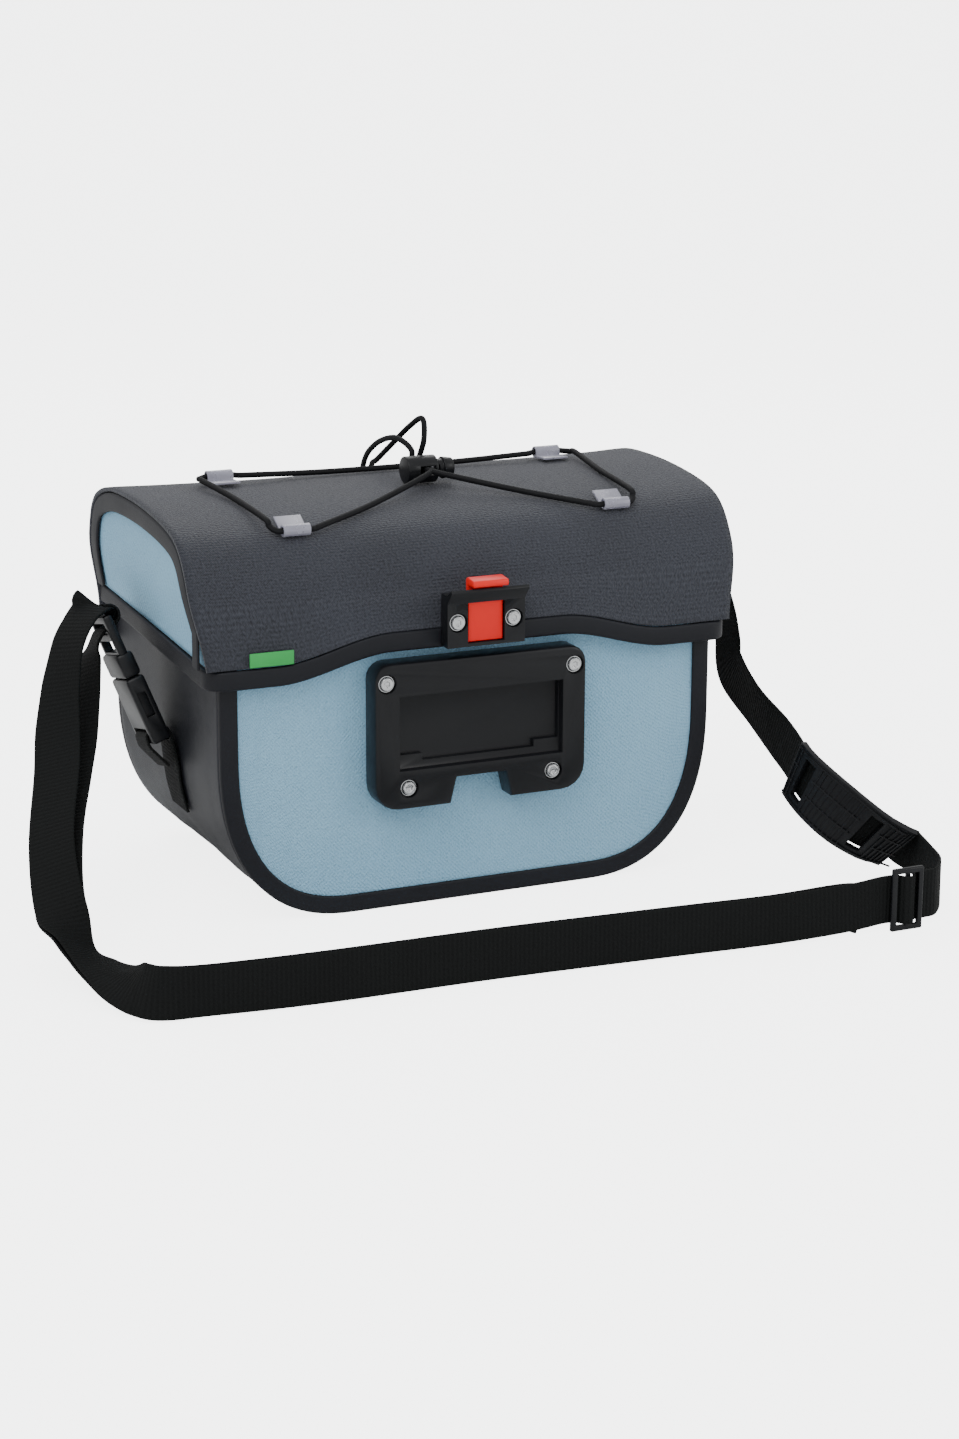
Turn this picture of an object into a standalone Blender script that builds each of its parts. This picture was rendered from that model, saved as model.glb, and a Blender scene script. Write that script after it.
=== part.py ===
"""Bicycle handlebar bag with a lid, a mounting plate and a shoulder strap.

Metres, +Z up. The bag stands on its base. The mounting plate faces -Y and +X is to the
right of someone who looks at that plate. The origin is the middle of the base.
"""
import math

import bmesh
import bpy
from mathutils import Matrix, Vector

# Bag body, a deep gusset between two flat panels with round lower corners
BODY_WIDTH = 0.249
BODY_DEPTH = 0.154
BODY_HEIGHT = 0.126
BODY_CORNER_WIDTH = 0.0645
BODY_CORNER_HEIGHT = 0.080
BODY_CORNER_POWER = 2.4
CLOTH = 0.002
PANEL_THICKNESS = 0.002
BORDER_WIDTH = 0.0085
BORDER_THICKNESS = 0.0012
GAP = 0.0003

# Lid, an arched shell with a bound hem, hung from the back panel
LID_FRONT_OVERHANG = 0.0063
LID_BACK_OVERHANG = 0.0023
LID_BASE = 0.114
LID_HEIGHT = 0.074
LID_SIDE_OVERHANG = 0.0075
LID_FLARE = 0.0055
LID_SAG = 0.0015
HEM_HEIGHT = 0.009
HEM_THICKNESS = 0.003
HEM_RISE = 0.0105
SIDE_HEM_RISE = 0.009
HEM_CORNER_RADIUS = 0.010
HINGE_DROP = 0.010
END_BAND_WIDTH = 0.0130
END_BAND_THICKNESS = 0.0012

# Mounting plate with its recess, notch and screws
PLATE_WIDTH = 0.1072
PLATE_BOTTOM = 0.050
PLATE_TOP = 0.1195
PLATE_THICKNESS = 0.0117
PLATE_TOP_RADIUS = 0.008
PLATE_BOTTOM_RADIUS = 0.012
PLATE_EDGE_BEVEL = 0.0016
RECESS_WIDTH = 0.083
RECESS_BOTTOM = 0.0685
RECESS_TOP = 0.104
RECESS_DEPTH = 0.008
RECESS_LIP_DEPTH = 0.0045
RECESS_SIDE_LEDGE = 0.0065
RECESS_MIDDLE_LEDGE = 0.0032
RECESS_MIDDLE_WIDTH = 0.057
NOTCH_WIDTH = 0.031
NOTCH_TOP_WIDTH = 0.025
NOTCH_HEIGHT = 0.0125
UPPER_SCREW_SPACING = 0.0952
UPPER_SCREW_HEIGHT = 0.1105
LOWER_SCREW_SPACING = 0.0736
LOWER_SCREW_HEIGHT = 0.060
SCREW_RADIUS = 0.0032
SCREW_HEAD = 0.0021
SCREW_SOCKET_RADIUS = 0.0015
SCREW_SOCKET_DEPTH = 0.0012
POCKET_RADIUS = 0.0046
POCKET_DEPTH = 0.0024

# Lid latch with its sliding release
LATCH_WIDTH = 0.039
LATCH_BOTTOM = 0.1255
LATCH_HEIGHT = 0.0245
LATCH_THICKNESS = 0.0075
HOOD_REACH = 0.005
HOOD_HEIGHT = 0.0065
RELEASE_WIDTH = 0.0176
RELEASE_THICKNESS = 0.0028
RELEASE_LIP_HEIGHT = 0.0038
RELEASE_LIP_REACH = 0.0090
RELEASE_CLEARANCE = 0.0004
LATCH_SCREW_SPACING = 0.028
LATCH_SCREW_HEIGHT = 0.0115

# Label tape stitched into the hem
TAG_WIDTH = 0.021
TAG_HEIGHT = 0.0065
TAG_THICKNESS = 0.0008
TAG_SIDE_OFFSET = 0.102

# Elastic cord on the lid with its four hooks and lock
ELASTIC_DIAMETER = 0.0028
HOOK_WIDTH = 0.0130
HOOK_LENGTH = 0.0150
HOOK_SLAB = 0.0010
HOOK_WALL = 0.0008
HOOK_BORE_CLEARANCE = 0.0006
FRONT_HOOK_X = 0.081
FRONT_HOOK_Y = -0.0590
BACK_HOOK_X = 0.0865
BACK_HOOK_Y = 0.0270
LOCK_X = 0.0045
LOCK_Y = -0.0085
LOCK_RADIUS = 0.0066
LOCK_LENGTH = 0.0125
LOCK_WALL = 0.0018
LOCK_STRAND_SPACING = 0.0034
LOCK_CLEARANCE = 0.0004
LOCK_SLOT_CLEARANCE = 0.0008
PLUNGER_TRAVEL = 0.003
KNOB_RADIUS = 0.0054
KNOB_LENGTH = 0.0048
PLUNGER_NECK = 0.0042
KNOT_RADIUS = 0.0036

# Side-release buckles on both sides of the bag
BUCKLE_WIDTH = 0.033
BUCKLE_THICKNESS = 0.0092
SOCKET_LENGTH = 0.033
SOCKET_WALL = 0.0018
PLUG_BODY_LENGTH = 0.012
LADDER_LENGTH = 0.0190
LADDER_BAR = 0.0032
LADDER_THICKNESS = 0.0042
PRONG_WIDTH = 0.0050
PRONG_LENGTH = 0.0205
PRONG_THICKNESS = 0.0046
BUCKLE_FOOT_OUT = 0.0065
BUCKLE_FOOT_Y = -0.002
BUCKLE_FOOT_Z = 0.072
BUCKLE_LEAN_OUT = 0.021
BUCKLE_LEAN_BACK = 0.015
BUCKLE_RISE = 0.059
ANCHOR_LENGTH = 0.034
ANCHOR_ROWS = (1.0, 0.72, 0.46, 0.30)
ANCHOR_DENT = 0.0015
FOOT_BAR = 0.0035
FOOT_SLOT = 0.0045

# Shoulder strap, webbing that lies in front of the bag, with slider and shoulder pad
STRAP_WIDTH = 0.0230
STRAP_THICKNESS = 0.0014
STRAP_OUT = 0.055
STRAP_FORE = 0.202
SLIDER_X = 0.1616
SLIDER_WIDTH = 0.0165
SLIDER_HEIGHT = 0.0300
SLIDER_THICKNESS = 0.0024
SLIDER_SIDE_BAR = 0.0026
SLIDER_MIDDLE_BAR = 0.0018
SLIDER_RAIL = 0.0026
PAD_WIDTH = 0.031
PAD_THICKNESS = 0.003
PAD_SLOT_LENGTH = 0.0075
PAD_SLOT_WIDTH = 0.0225

# Lid profile seen from the side: depth as a share of the lid's depth, height of its height
LID_PROFILE = (
    (0.000, 0.122), (0.020, 0.365), (0.038, 0.514), (0.069, 0.676), (0.118, 0.824),
    (0.186, 0.912), (0.309, 0.966), (0.494, 1.000), (0.679, 1.000), (0.784, 0.973),
    (0.864, 0.919), (0.914, 0.851), (0.951, 0.730), (0.981, 0.486), (0.999, 0.190),
    (1.000, 0.000),
)
# Stations of the lid across its width, as shares of its half width
LID_STATIONS = (
    -1.0, -0.96, -0.80, -0.66, -0.55, -0.44, -0.34, -0.20,
    0.0, 0.20, 0.34, 0.44, 0.55, 0.66, 0.80, 0.96, 1.0,
)

# Soft dents of the gusset: depth share, pull inwards at mid height, pull at the lower corner
GUSSET_DENTS = (
    (0.00, 0.0000, 0.0000), (0.12, 0.0008, 0.0004), (0.30, 0.0021, -0.0006),
    (0.50, 0.0015, -0.0014), (0.70, 0.0022, -0.0010), (0.88, 0.0009, 0.0002),
    (1.00, 0.0000, 0.0000),
)

# Strap routes. out: share of STRAP_OUT past the buckle's bar; fore: share of the way from
# the bar to the run in front of the bag; up: share of the bar's height; the last three
# are the direction of the webbing's width.
LEFT_STRAP = (
    (0.085, 0.014, 1.060, -0.10, -0.98, -0.14),
    (0.230, 0.038, 1.024, -0.02, -0.97, -0.20),
    (0.365, 0.063, 0.952, 0.12, -0.95, -0.27),
    (0.475, 0.096, 0.834, 0.31, -0.92, -0.25),
    (0.575, 0.147, 0.699, 0.51, -0.85, -0.14),
    (0.691, 0.231, 0.570, 0.70, -0.66, 0.16),
    (0.902, 0.361, 0.387, 0.63, -0.76, 0.12),
    (0.984, 0.473, 0.228, 0.85, -0.50, 0.10),
    (0.955, 0.566, 0.122, 0.80, 0.36, -0.40),
    (0.885, 0.634, 0.092, 0.93, 0.26, -0.24),
    (0.838, 0.703, 0.086, 0.99, 0.09, 0.05),
    (0.804, 0.774, 0.0900, 0.80, -0.10, 0.58),
    (0.765, 0.832, 0.0937, 0.46, -0.06, 0.88),
    (0.638, 0.872, 0.0937, 0.44, -0.02, 0.90),
    (0.278, 0.896, 0.0935, 0.22, -0.10, 0.96),
)
# Floor run: along is the share of the way from the middle plane to the slider
FLOOR_RUN = (
    (-0.721, 0.917, 0.0935), (-0.225, 0.930, 0.0935), (0.279, 0.957, 0.0935),
    (0.580, 0.979, 0.0965), (0.800, 0.993, 0.108),
)
# Weave through the slider: along and across are shares of the slider's half width and of
# the step that takes the webbing from one side of the frame to the other
SLIDER_WEAVE = (
    (-1.55, -1.00), (-0.78, -1.00), (-0.59, -0.82), (-0.41, 0.00), (-0.24, 0.80),
    (-0.10, 1.00), (0.10, 1.00), (0.24, 0.80), (0.41, 0.00), (0.59, -0.82),
    (0.78, -1.00), (1.30, -1.05),
)
# From the slider round to the pad and up to the right buckle, columns as LEFT_STRAP
RIGHT_STRAP = (
    (0.522, 0.979, 0.116, 0.00, 0.00, 1.00),
    (0.704, 0.921, 0.116, 0.00, 0.02, 1.00),
    (0.805, 0.846, 0.116, 0.02, 0.10, 0.99),
    (0.880, 0.776, 0.116, 0.00, -0.10, 0.99),
    (0.925, 0.724, 0.120, -0.02, -0.16, 0.97),
    (0.813, 0.709, 0.149, -0.08, -0.62, 0.76),
    (0.595, 0.702, 0.192, 0.15, -0.60, 0.78),
    (0.373, 0.671, 0.260, 0.31, -0.52, 0.79),
    (0.222, 0.625, 0.331, 0.22, -0.45, 0.86),
    (0.167, 0.569, 0.385, 0.11, -0.41, 0.91),
    (0.205, 0.500, 0.427, 0.11, -0.34, 0.93),
    (0.236, 0.425, 0.465, 0.12, -0.30, 0.95),
    (0.278, 0.291, 0.530, -0.02, -0.40, 0.90),
    (0.373, 0.128, 0.620, 0.06, -0.85, 0.45),
    (0.400, 0.100, 0.720, 0.06, -0.97, 0.10),
    (0.385, 0.084, 0.836, 0.03, -0.99, 0.00),
    (0.331, 0.063, 0.952, 0.00, -1.00, -0.06),
    (0.222, 0.040, 1.037, -0.04, -0.99, -0.10),
    (0.085, 0.014, 1.067, -0.08, -0.99, -0.08),
)
# The webbing's way round the top bar of the buckle, through the slit below it and out,
# from the strap's side: outwards and along the buckle, in metres from the bar's middle
BAR_WRAP = (
    (-0.0010, 0.0064), (-0.0047, 0.0052), (-0.0070, 0.0024), (-0.0064, -0.0012),
    (-0.0034, -0.0036), (0.0, -0.0044), (0.0036, -0.0052), (0.0090, -0.0100),
)
# Second layer of the left strap, from the buckle down to where it follows the first layer
SECOND_LAYER = (
    (0.160, 0.024, 0.850, 0.05, -1.00, -0.12),
    (0.270, 0.066, 0.745, 0.22, -0.95, -0.20),
    (0.400, 0.127, 0.630, 0.42, -0.88, -0.10),
    (0.570, 0.212, 0.520, 0.64, -0.74, 0.10),
    (0.800, 0.336, 0.375, 0.64, -0.76, 0.10),
)
SECOND_LAYER_OFFSET = 0.0022
SECOND_LAYER_JOINS = 7
# Steps between two rows of a strap table, the steps of the right strap that the pad
# covers, counted from 0, and the steps of the pad that carry its slots
STRAP_STEPS = 3
PAD_FIRST = 15
PAD_LAST = 28
PAD_SLOTS = (4, 11)

# The elastic cord's free loop from the lock back over the lid's rear edge to its knot.
# Columns: across from the lock, depth of the bag, height above the lid's top.
EXCESS_LOOP_LEFT = (
    (-0.0010, 0.004, 0.0125), (-0.0035, 0.016, 0.0165), (-0.0050, 0.032, 0.0130),
    (-0.0055, 0.046, 0.0060), (-0.0040, 0.057, -0.0015), (-0.0015, 0.067, -0.0110),
    (0.0000, 0.0735, -0.0200),
)
EXCESS_LOOP_RIGHT = (
    (0.0030, -0.002, 0.0180), (0.0040, 0.002, 0.0275), (0.0020, 0.012, 0.0230),
    (-0.0010, 0.030, 0.0105), (-0.0010, 0.048, 0.0005), (0.0015, 0.060, -0.0035),
    (0.0035, 0.069, -0.0120), (0.0030, 0.0740, -0.0200),
)


def clear_scene():
    for old in list(bpy.data.objects):
        bpy.data.objects.remove(old, do_unlink=True)


def finish(name, rgb, roughness, metallic=0.0):
    """A plain surface finish."""
    made = bpy.data.materials.new(name)
    made.use_nodes = True
    shader = made.node_tree.nodes["Principled BSDF"]
    shader.inputs["Base Color"].default_value = (*rgb, 1.0)
    shader.inputs["Roughness"].default_value = roughness
    shader.inputs["Metallic"].default_value = metallic
    return made


def add_object(name, mesh_edit, material):
    """Close off a bmesh as a named object with its faces pointing out."""
    bmesh.ops.recalc_face_normals(mesh_edit, faces=mesh_edit.faces[:])
    if mesh_edit.calc_volume(signed=True) < 0:
        bmesh.ops.reverse_faces(mesh_edit, faces=mesh_edit.faces[:])
    mesh = bpy.data.meshes.new(name)
    mesh_edit.to_mesh(mesh)
    mesh_edit.free()
    mesh.materials.append(material)
    mesh.shade_smooth()
    mesh.set_sharp_from_angle(angle=math.radians(35))
    made = bpy.data.objects.new(name, mesh)
    bpy.context.scene.collection.objects.link(made)
    return made


def set_origin(made, point):
    """Put an object's origin at a point and leave its shape where it is."""
    made.data.transform(Matrix.Translation(-Vector(point)))
    made.location = point


def loft(name, rings, material, strip_caps=False):
    """A solid through closed rings of points, all with the same count.

    strip_caps closes the ends of a folded wall, whose ring runs out along one face and
    back along the other.
    """
    edit = bmesh.new()
    rows = [[edit.verts.new(point) for point in ring] for ring in rings]
    count = len(rings[0])
    for low, high in zip(rows, rows[1:]):
        for i in range(count):
            j = (i + 1) % count
            edit.faces.new((low[i], low[j], high[j], high[i]))
    for row in (rows[0], rows[-1]):
        if strip_caps:
            for i in range(count // 2 - 1):
                edit.faces.new((row[i], row[i + 1], row[count - 2 - i], row[count - 1 - i]))
        else:
            edit.faces.new(row)
    return add_object(name, edit, material)


def prism(name, outline, place, material, bevel=0.0):
    """A flat outline made solid. place(u, v, side) gives the point on side 0 or 1."""
    edit = bmesh.new()
    rows = [[edit.verts.new(place(u, v, side)) for u, v in outline] for side in (0, 1)]
    front = edit.faces.new(rows[0])
    edit.faces.new(rows[1])
    count = len(outline)
    for i in range(count):
        j = (i + 1) % count
        edit.faces.new((rows[0][i], rows[0][j], rows[1][j], rows[1][i]))
    if bevel:
        bmesh.ops.recalc_face_normals(edit, faces=edit.faces[:])
        bmesh.ops.bevel(edit, geom=list(front.edges), offset=bevel, segments=2,
                        profile=0.5, affect="EDGES")
    return add_object(name, edit, material)


def box(name, low, high, material, bevel=0.0):
    """A box between two corners, its edges rounded by bevel."""
    edit = bmesh.new()
    bmesh.ops.create_cube(edit, size=1.0)
    for vert in edit.verts:
        for axis in range(3):
            vert.co[axis] = high[axis] if vert.co[axis] > 0 else low[axis]
    if bevel:
        bmesh.ops.bevel(edit, geom=edit.edges[:], offset=bevel, segments=2, profile=0.5,
                        affect="EDGES")
    return add_object(name, edit, material)


def cylinder(name, start, end, radius, material, sides=20, end_radius=None):
    """A round bar between two points."""
    start, end = Vector(start), Vector(end)
    edit = bmesh.new()
    bmesh.ops.create_cone(edit, cap_ends=True, segments=sides, radius1=radius,
                          radius2=radius if end_radius is None else end_radius,
                          depth=(end - start).length)
    turn = (end - start).to_track_quat("Z", "Y").to_matrix().to_4x4()
    edit.transform(Matrix.Translation((start + end) / 2) @ turn)
    return add_object(name, edit, material)


def cutter(made):
    made.hide_render = True
    made.display_type = "WIRE"
    return made


def combine(target, tool, operation="DIFFERENCE"):
    """Cut a shape out of a solid, or join it on."""
    cutter(tool)
    step = target.modifiers.new(operation.lower(), "BOOLEAN")
    step.operation = operation
    step.solver = "EXACT"
    step.object = tool


def smooth_route(points, steps):
    """Points of a smooth curve through the given vectors, steps for each stretch."""
    route = []
    last = len(points) - 1
    for i in range(last):
        before, start = points[max(i - 1, 0)], points[i]
        end, after = points[i + 1], points[min(i + 2, last)]
        for k in range(steps):
            t = k / steps
            route.append(0.5 * ((2 * start) + (end - before) * t
                                + (2 * before - 5 * start + 4 * end - after) * t * t
                                + (3 * start - before - 3 * end + after) * t ** 3))
    route.append(points[-1])
    return route


def smooth_step(value):
    value = min(max(value, 0.0), 1.0)
    return value * value * (3 - 2 * value)


def offset_line(points, distance):
    """An open 2D line moved sideways, to the right of its direction for a positive one."""
    moved = []
    for i, (u, v) in enumerate(points):
        normals = []
        for a, b in ((i - 1, i), (i, i + 1)):
            if 0 <= a and b < len(points):
                du, dv = points[b][0] - points[a][0], points[b][1] - points[a][1]
                size = math.hypot(du, dv)
                normals.append((dv / size, -du / size))
        nu = sum(n[0] for n in normals)
        nv = sum(n[1] for n in normals)
        size = math.hypot(nu, nv)
        reach = distance * (2 / size if len(normals) == 2 else 1 / size)
        moved.append((u + nu / size * reach, v + nv / size * reach))
    return moved


def table_value(rows, at, column):
    """Read a table whose first column rises, between its rows."""
    for low, high in zip(rows, rows[1:]):
        if at <= high[0]:
            share = (at - low[0]) / (high[0] - low[0])
            return low[column] + share * (high[column] - low[column])
    return rows[-1][column]


HALF_WIDTH = BODY_WIDTH / 2
FRONT_Y = -BODY_DEPTH / 2
BACK_Y = BODY_DEPTH / 2
PANEL_FACE = BORDER_THICKNESS + GAP
LID_FRONT_Y = FRONT_Y - LID_FRONT_OVERHANG
LID_BACK_Y = BACK_Y + LID_BACK_OVERHANG
LID_DEPTH = LID_BACK_Y - LID_FRONT_Y
LID_HALF = HALF_WIDTH + LID_SIDE_OVERHANG
PLATE_BACK_Y = FRONT_Y + PANEL_FACE - GAP
PLATE_FRONT_Y = PLATE_BACK_Y - PLATE_THICKNESS
HEM_FRONT_Y = LID_FRONT_Y - (HEM_THICKNESS - CLOTH) / 2


def body_outline(steps=9):
    """Front view of the body from its top left edge round the base to its top right."""
    flat = HALF_WIDTH - BODY_CORNER_WIDTH
    corner = []
    for k in range(steps + 1):
        turn = math.pi / 2 * k / steps
        across = flat + BODY_CORNER_WIDTH * math.cos(turn) ** (2 / BODY_CORNER_POWER)
        height = BODY_CORNER_HEIGHT * (1 - math.sin(turn) ** (2 / BODY_CORNER_POWER))
        corner.append((across, max(height, 0.0)))
    right = [(HALF_WIDTH, BODY_HEIGHT)] + corner
    left = [(-x, z) for x, z in right]
    return left + right[::-1]


def wall_ring(outline, thickness):
    """A folded ring: along the outline and back along its inner face."""
    inner = offset_line(outline, -thickness)
    top = outline[0][1]
    inner[0] = (inner[0][0], top)
    inner[-1] = (inner[-1][0], top)
    return list(outline) + inner[::-1]


def dent_share(z):
    """How much of a gusset's middle dent shows at a height."""
    return math.sin(math.pi * min(max((z / BODY_HEIGHT - 0.25) / 0.75, 0.0), 1.0))


def body_half_width(z):
    """Half the body's width at a height, on the curve of its lower corners."""
    drop = min(max(1 - z / BODY_CORNER_HEIGHT, 0.0), 1.0)
    bulge = (1 - drop ** BODY_CORNER_POWER) ** (1 / BODY_CORNER_POWER)
    return HALF_WIDTH - BODY_CORNER_WIDTH * (1 - bulge)


def build_body(blue, dark):
    outline = body_outline()
    ring = wall_ring(outline, CLOTH)
    reach = BODY_DEPTH / 2 - PANEL_FACE - PANEL_THICKNESS - GAP
    rings = []
    for share, mid_pull, low_pull in GUSSET_DENTS:
        y = -reach + 2 * reach * share
        points = []
        for x, z in ring:
            low = math.sin(math.pi * min(max(z / BODY_HEIGHT / 0.30, 0.0), 1.0))
            pull = mid_pull * dent_share(z) + low_pull * low
            points.append((x - math.copysign(pull, x), y, z))
        rings.append(points)
    loft("gusset", rings, dark, strip_caps=True)

    edge = offset_line(outline, -GAP)
    edge[0] = (edge[0][0], BODY_HEIGHT)
    edge[-1] = (edge[-1][0], BODY_HEIGHT)
    border = wall_ring(outline, BORDER_WIDTH)
    for side, name in ((-1, "front"), (1, "back")):
        outer = side * (BODY_DEPTH / 2 - PANEL_FACE)
        inner = outer - side * PANEL_THICKNESS

        def panel_point(x, z, face, outer=outer, inner=inner):
            return (x, inner if face else outer, z)

        prism(f"{name}_panel", edge, panel_point, blue)
        face = side * BODY_DEPTH / 2
        rows = [[(x, y, z) for x, z in border] for y in (face, face - side * BORDER_THICKNESS)]
        loft(f"{name}_border", rows, dark, strip_caps=True)


def lid_half_width(z):
    """The lid widens from its hem up to its arched ends."""
    return LID_HALF + LID_FLARE * smooth_step((z - LID_BASE - 0.006) / 0.040)


def lid_profile(inset=0.0):
    """Side view of the lid's skin from the front hem over the top to the back."""
    points = [(LID_FRONT_Y + y * LID_DEPTH, LID_BASE + z * LID_HEIGHT) for y, z in LID_PROFILE]
    points[-1] = (LID_BACK_Y, LID_BASE - HINGE_DROP)
    return offset_line(points, inset) if inset else points


def lid_sag(x):
    """The top dips a little between its ends."""
    share = min(abs(x) / LID_HALF, 1.0)
    return LID_SAG * (1 - share ** 4)


def hem_bottom(x, y=LID_FRONT_Y):
    """The front hem rises in a wave over the plate, the side hems towards the back."""
    wave = smooth_step((PLATE_WIDTH / 2 + 0.045 - abs(x)) / 0.056)
    back = min(max((y - LID_FRONT_Y - 0.010) / (LID_DEPTH - 0.020), 0.0), 1.0)
    return LID_BASE + HEM_RISE * wave + SIDE_HEM_RISE * back


def end_floor(y):
    """Lower edge of the lid's end, just above the side hem."""
    return hem_bottom(LID_HALF, y) + HEM_HEIGHT + 2 * GAP


def lid_height(x, y):
    """Height of the lid's skin above a point of the bag."""
    profile = lid_profile()
    z = table_value(profile[:-1], y, 1)
    return z - lid_sag(x) * (z - LID_BASE) / LID_HEIGHT


def lid_slope(y):
    """Angle of the lid's skin to the level, seen from the right side."""
    step = 0.004
    return math.atan2(lid_height(0, y + step) - lid_height(0, y - step), 2 * step)


def build_lid(blue, shell_dark, dark, green):
    outer = lid_profile()
    inner = offset_line(outer, CLOTH)
    rings = []
    for share in LID_STATIONS:
        points = []
        for line, first in ((outer, 0), (inner[::-1], len(inner) - 1)):
            for i, (y, z) in enumerate(line):
                half = lid_half_width(z)
                x = share * half
                if i == first:
                    z = hem_bottom(x) + HEM_HEIGHT + 2 * GAP
                else:
                    z -= lid_sag(x) * max(z - LID_BASE, 0.0) / LID_HEIGHT
                points.append((x, y, z))
        rings.append(points)
    loft("lid_top", rings, shell_dark, strip_caps=True)

    hem_rings = []
    corner_steps = 4
    left_half = []
    for k in range(corner_steps + 1):
        turn = math.pi / 2 * k / corner_steps
        left_half.append((turn, -LID_HALF + HEM_CORNER_RADIUS, HEM_FRONT_Y + HEM_CORNER_RADIUS))
    plan = [(-LID_HALF, share * BACK_Y, math.pi) for share in (0.985, 0.6, 0.2, -0.2, -0.6)]
    for turn, centre_x, centre_y in left_half:
        angle = math.pi + turn
        plan.append((centre_x + HEM_CORNER_RADIUS * math.cos(angle),
                     centre_y + HEM_CORNER_RADIUS * math.sin(angle), angle))
    plan += [(share * LID_HALF, HEM_FRONT_Y, math.pi * 1.5) for share in LID_STATIONS[2:9]]
    plan += [(-x, y, 3 * math.pi - angle) for x, y, angle in plan[-2::-1]]
    for x, y, angle in plan:
        inward_x = -math.cos(angle) * HEM_THICKNESS
        inward_y = -math.sin(angle) * HEM_THICKNESS
        low = hem_bottom(x, y)
        high = low + HEM_HEIGHT
        hem_rings.append([(x, y, low), (x + inward_x, y + inward_y, low),
                          (x + inward_x, y + inward_y, high), (x, y, high)])
    loft("lid_hem", hem_rings, dark)

    clear = CLOTH + 3 * GAP
    line_out = lid_profile(clear)
    line_in = lid_profile(clear + END_BAND_WIDTH)
    top_row = 7
    front = [(z, y) for y, z in line_out[:top_row + 1]]
    back = [(z, y) for y, z in line_out[:top_row:-1]]
    top = line_out[top_row][1] - lid_sag(0) - GAP
    for side, name in ((-1, "left"), (1, "right")):
        rings = []
        for i in range(1, len(line_out) - 1):
            ring = []
            for line, depth in ((line_out, 0), (line_in, 0), (line_in, 1), (line_out, 1)):
                y, z = line[i]
                z = max(z, end_floor(y))
                x = lid_half_width(z) - depth * END_BAND_THICKNESS
                ring.append((side * x, y, z))
            rings.append(ring)
        foot = []
        for x, y, z in rings[0]:
            z = end_floor(y)
            foot.append((x, y, z))
        rings = [foot] + rings
        loft(f"lid_end_band_{name}", rings, dark)

        sunk = END_BAND_THICKNESS + 3 * GAP
        rings = []
        for k in range(9):
            rise = math.sin(math.pi / 2 * k / 8)
            corners = []
            for edge in (front, back):
                low = end_floor(table_value(edge, LID_BASE + HEM_HEIGHT, 1))
                z = low + (top - low) * rise
                corners.append((lid_half_width(z) - sunk, table_value(edge, z, 1), z))
            (x0, y0, z0), (x1, y1, z1) = corners
            rings.append([(side * x0, y0, z0), (side * x1, y1, z1),
                          (side * (x1 - PANEL_THICKNESS), y1, z1),
                          (side * (x0 - PANEL_THICKNESS), y0, z0)])
        loft(f"lid_end_{name}", rings, blue)

    tag_low = LID_BASE + HEM_HEIGHT + 0.001
    tag_back = LID_FRONT_Y - GAP
    box("tag", (-TAG_SIDE_OFFSET - TAG_WIDTH / 2, tag_back - TAG_THICKNESS, tag_low),
        (-TAG_SIDE_OFFSET + TAG_WIDTH / 2, tag_back, tag_low + TAG_HEIGHT), green)


def arc(centre_x, centre_z, radius, start, end, steps=5):
    """Points of a round corner, angles in degrees."""
    points = []
    for k in range(steps + 1):
        angle = math.radians(start + (end - start) * k / steps)
        points.append((centre_x + radius * math.cos(angle), centre_z + radius * math.sin(angle)))
    return points


def screw(name, x, z, face_y, steel):
    """A socket-head screw sunk in a pocket of a face that looks along -Y."""
    seat = face_y + POCKET_DEPTH - GAP
    head = cylinder(name, (x, seat, z), (x, seat - SCREW_HEAD, z), SCREW_RADIUS, steel, 20,
                    SCREW_RADIUS * 0.93)
    hexagon = cylinder(f"{name}_key", (x, seat - SCREW_HEAD + SCREW_SOCKET_DEPTH, z),
                       (x, seat - SCREW_HEAD - 0.001, z), SCREW_SOCKET_RADIUS, steel, 6)
    combine(head, hexagon)


def pocket(target, name, x, z, face_y, material):
    hole = cylinder(name, (x, face_y + POCKET_DEPTH, z), (x, face_y - 0.002, z),
                    POCKET_RADIUS, material, 20)
    combine(target, hole)


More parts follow.
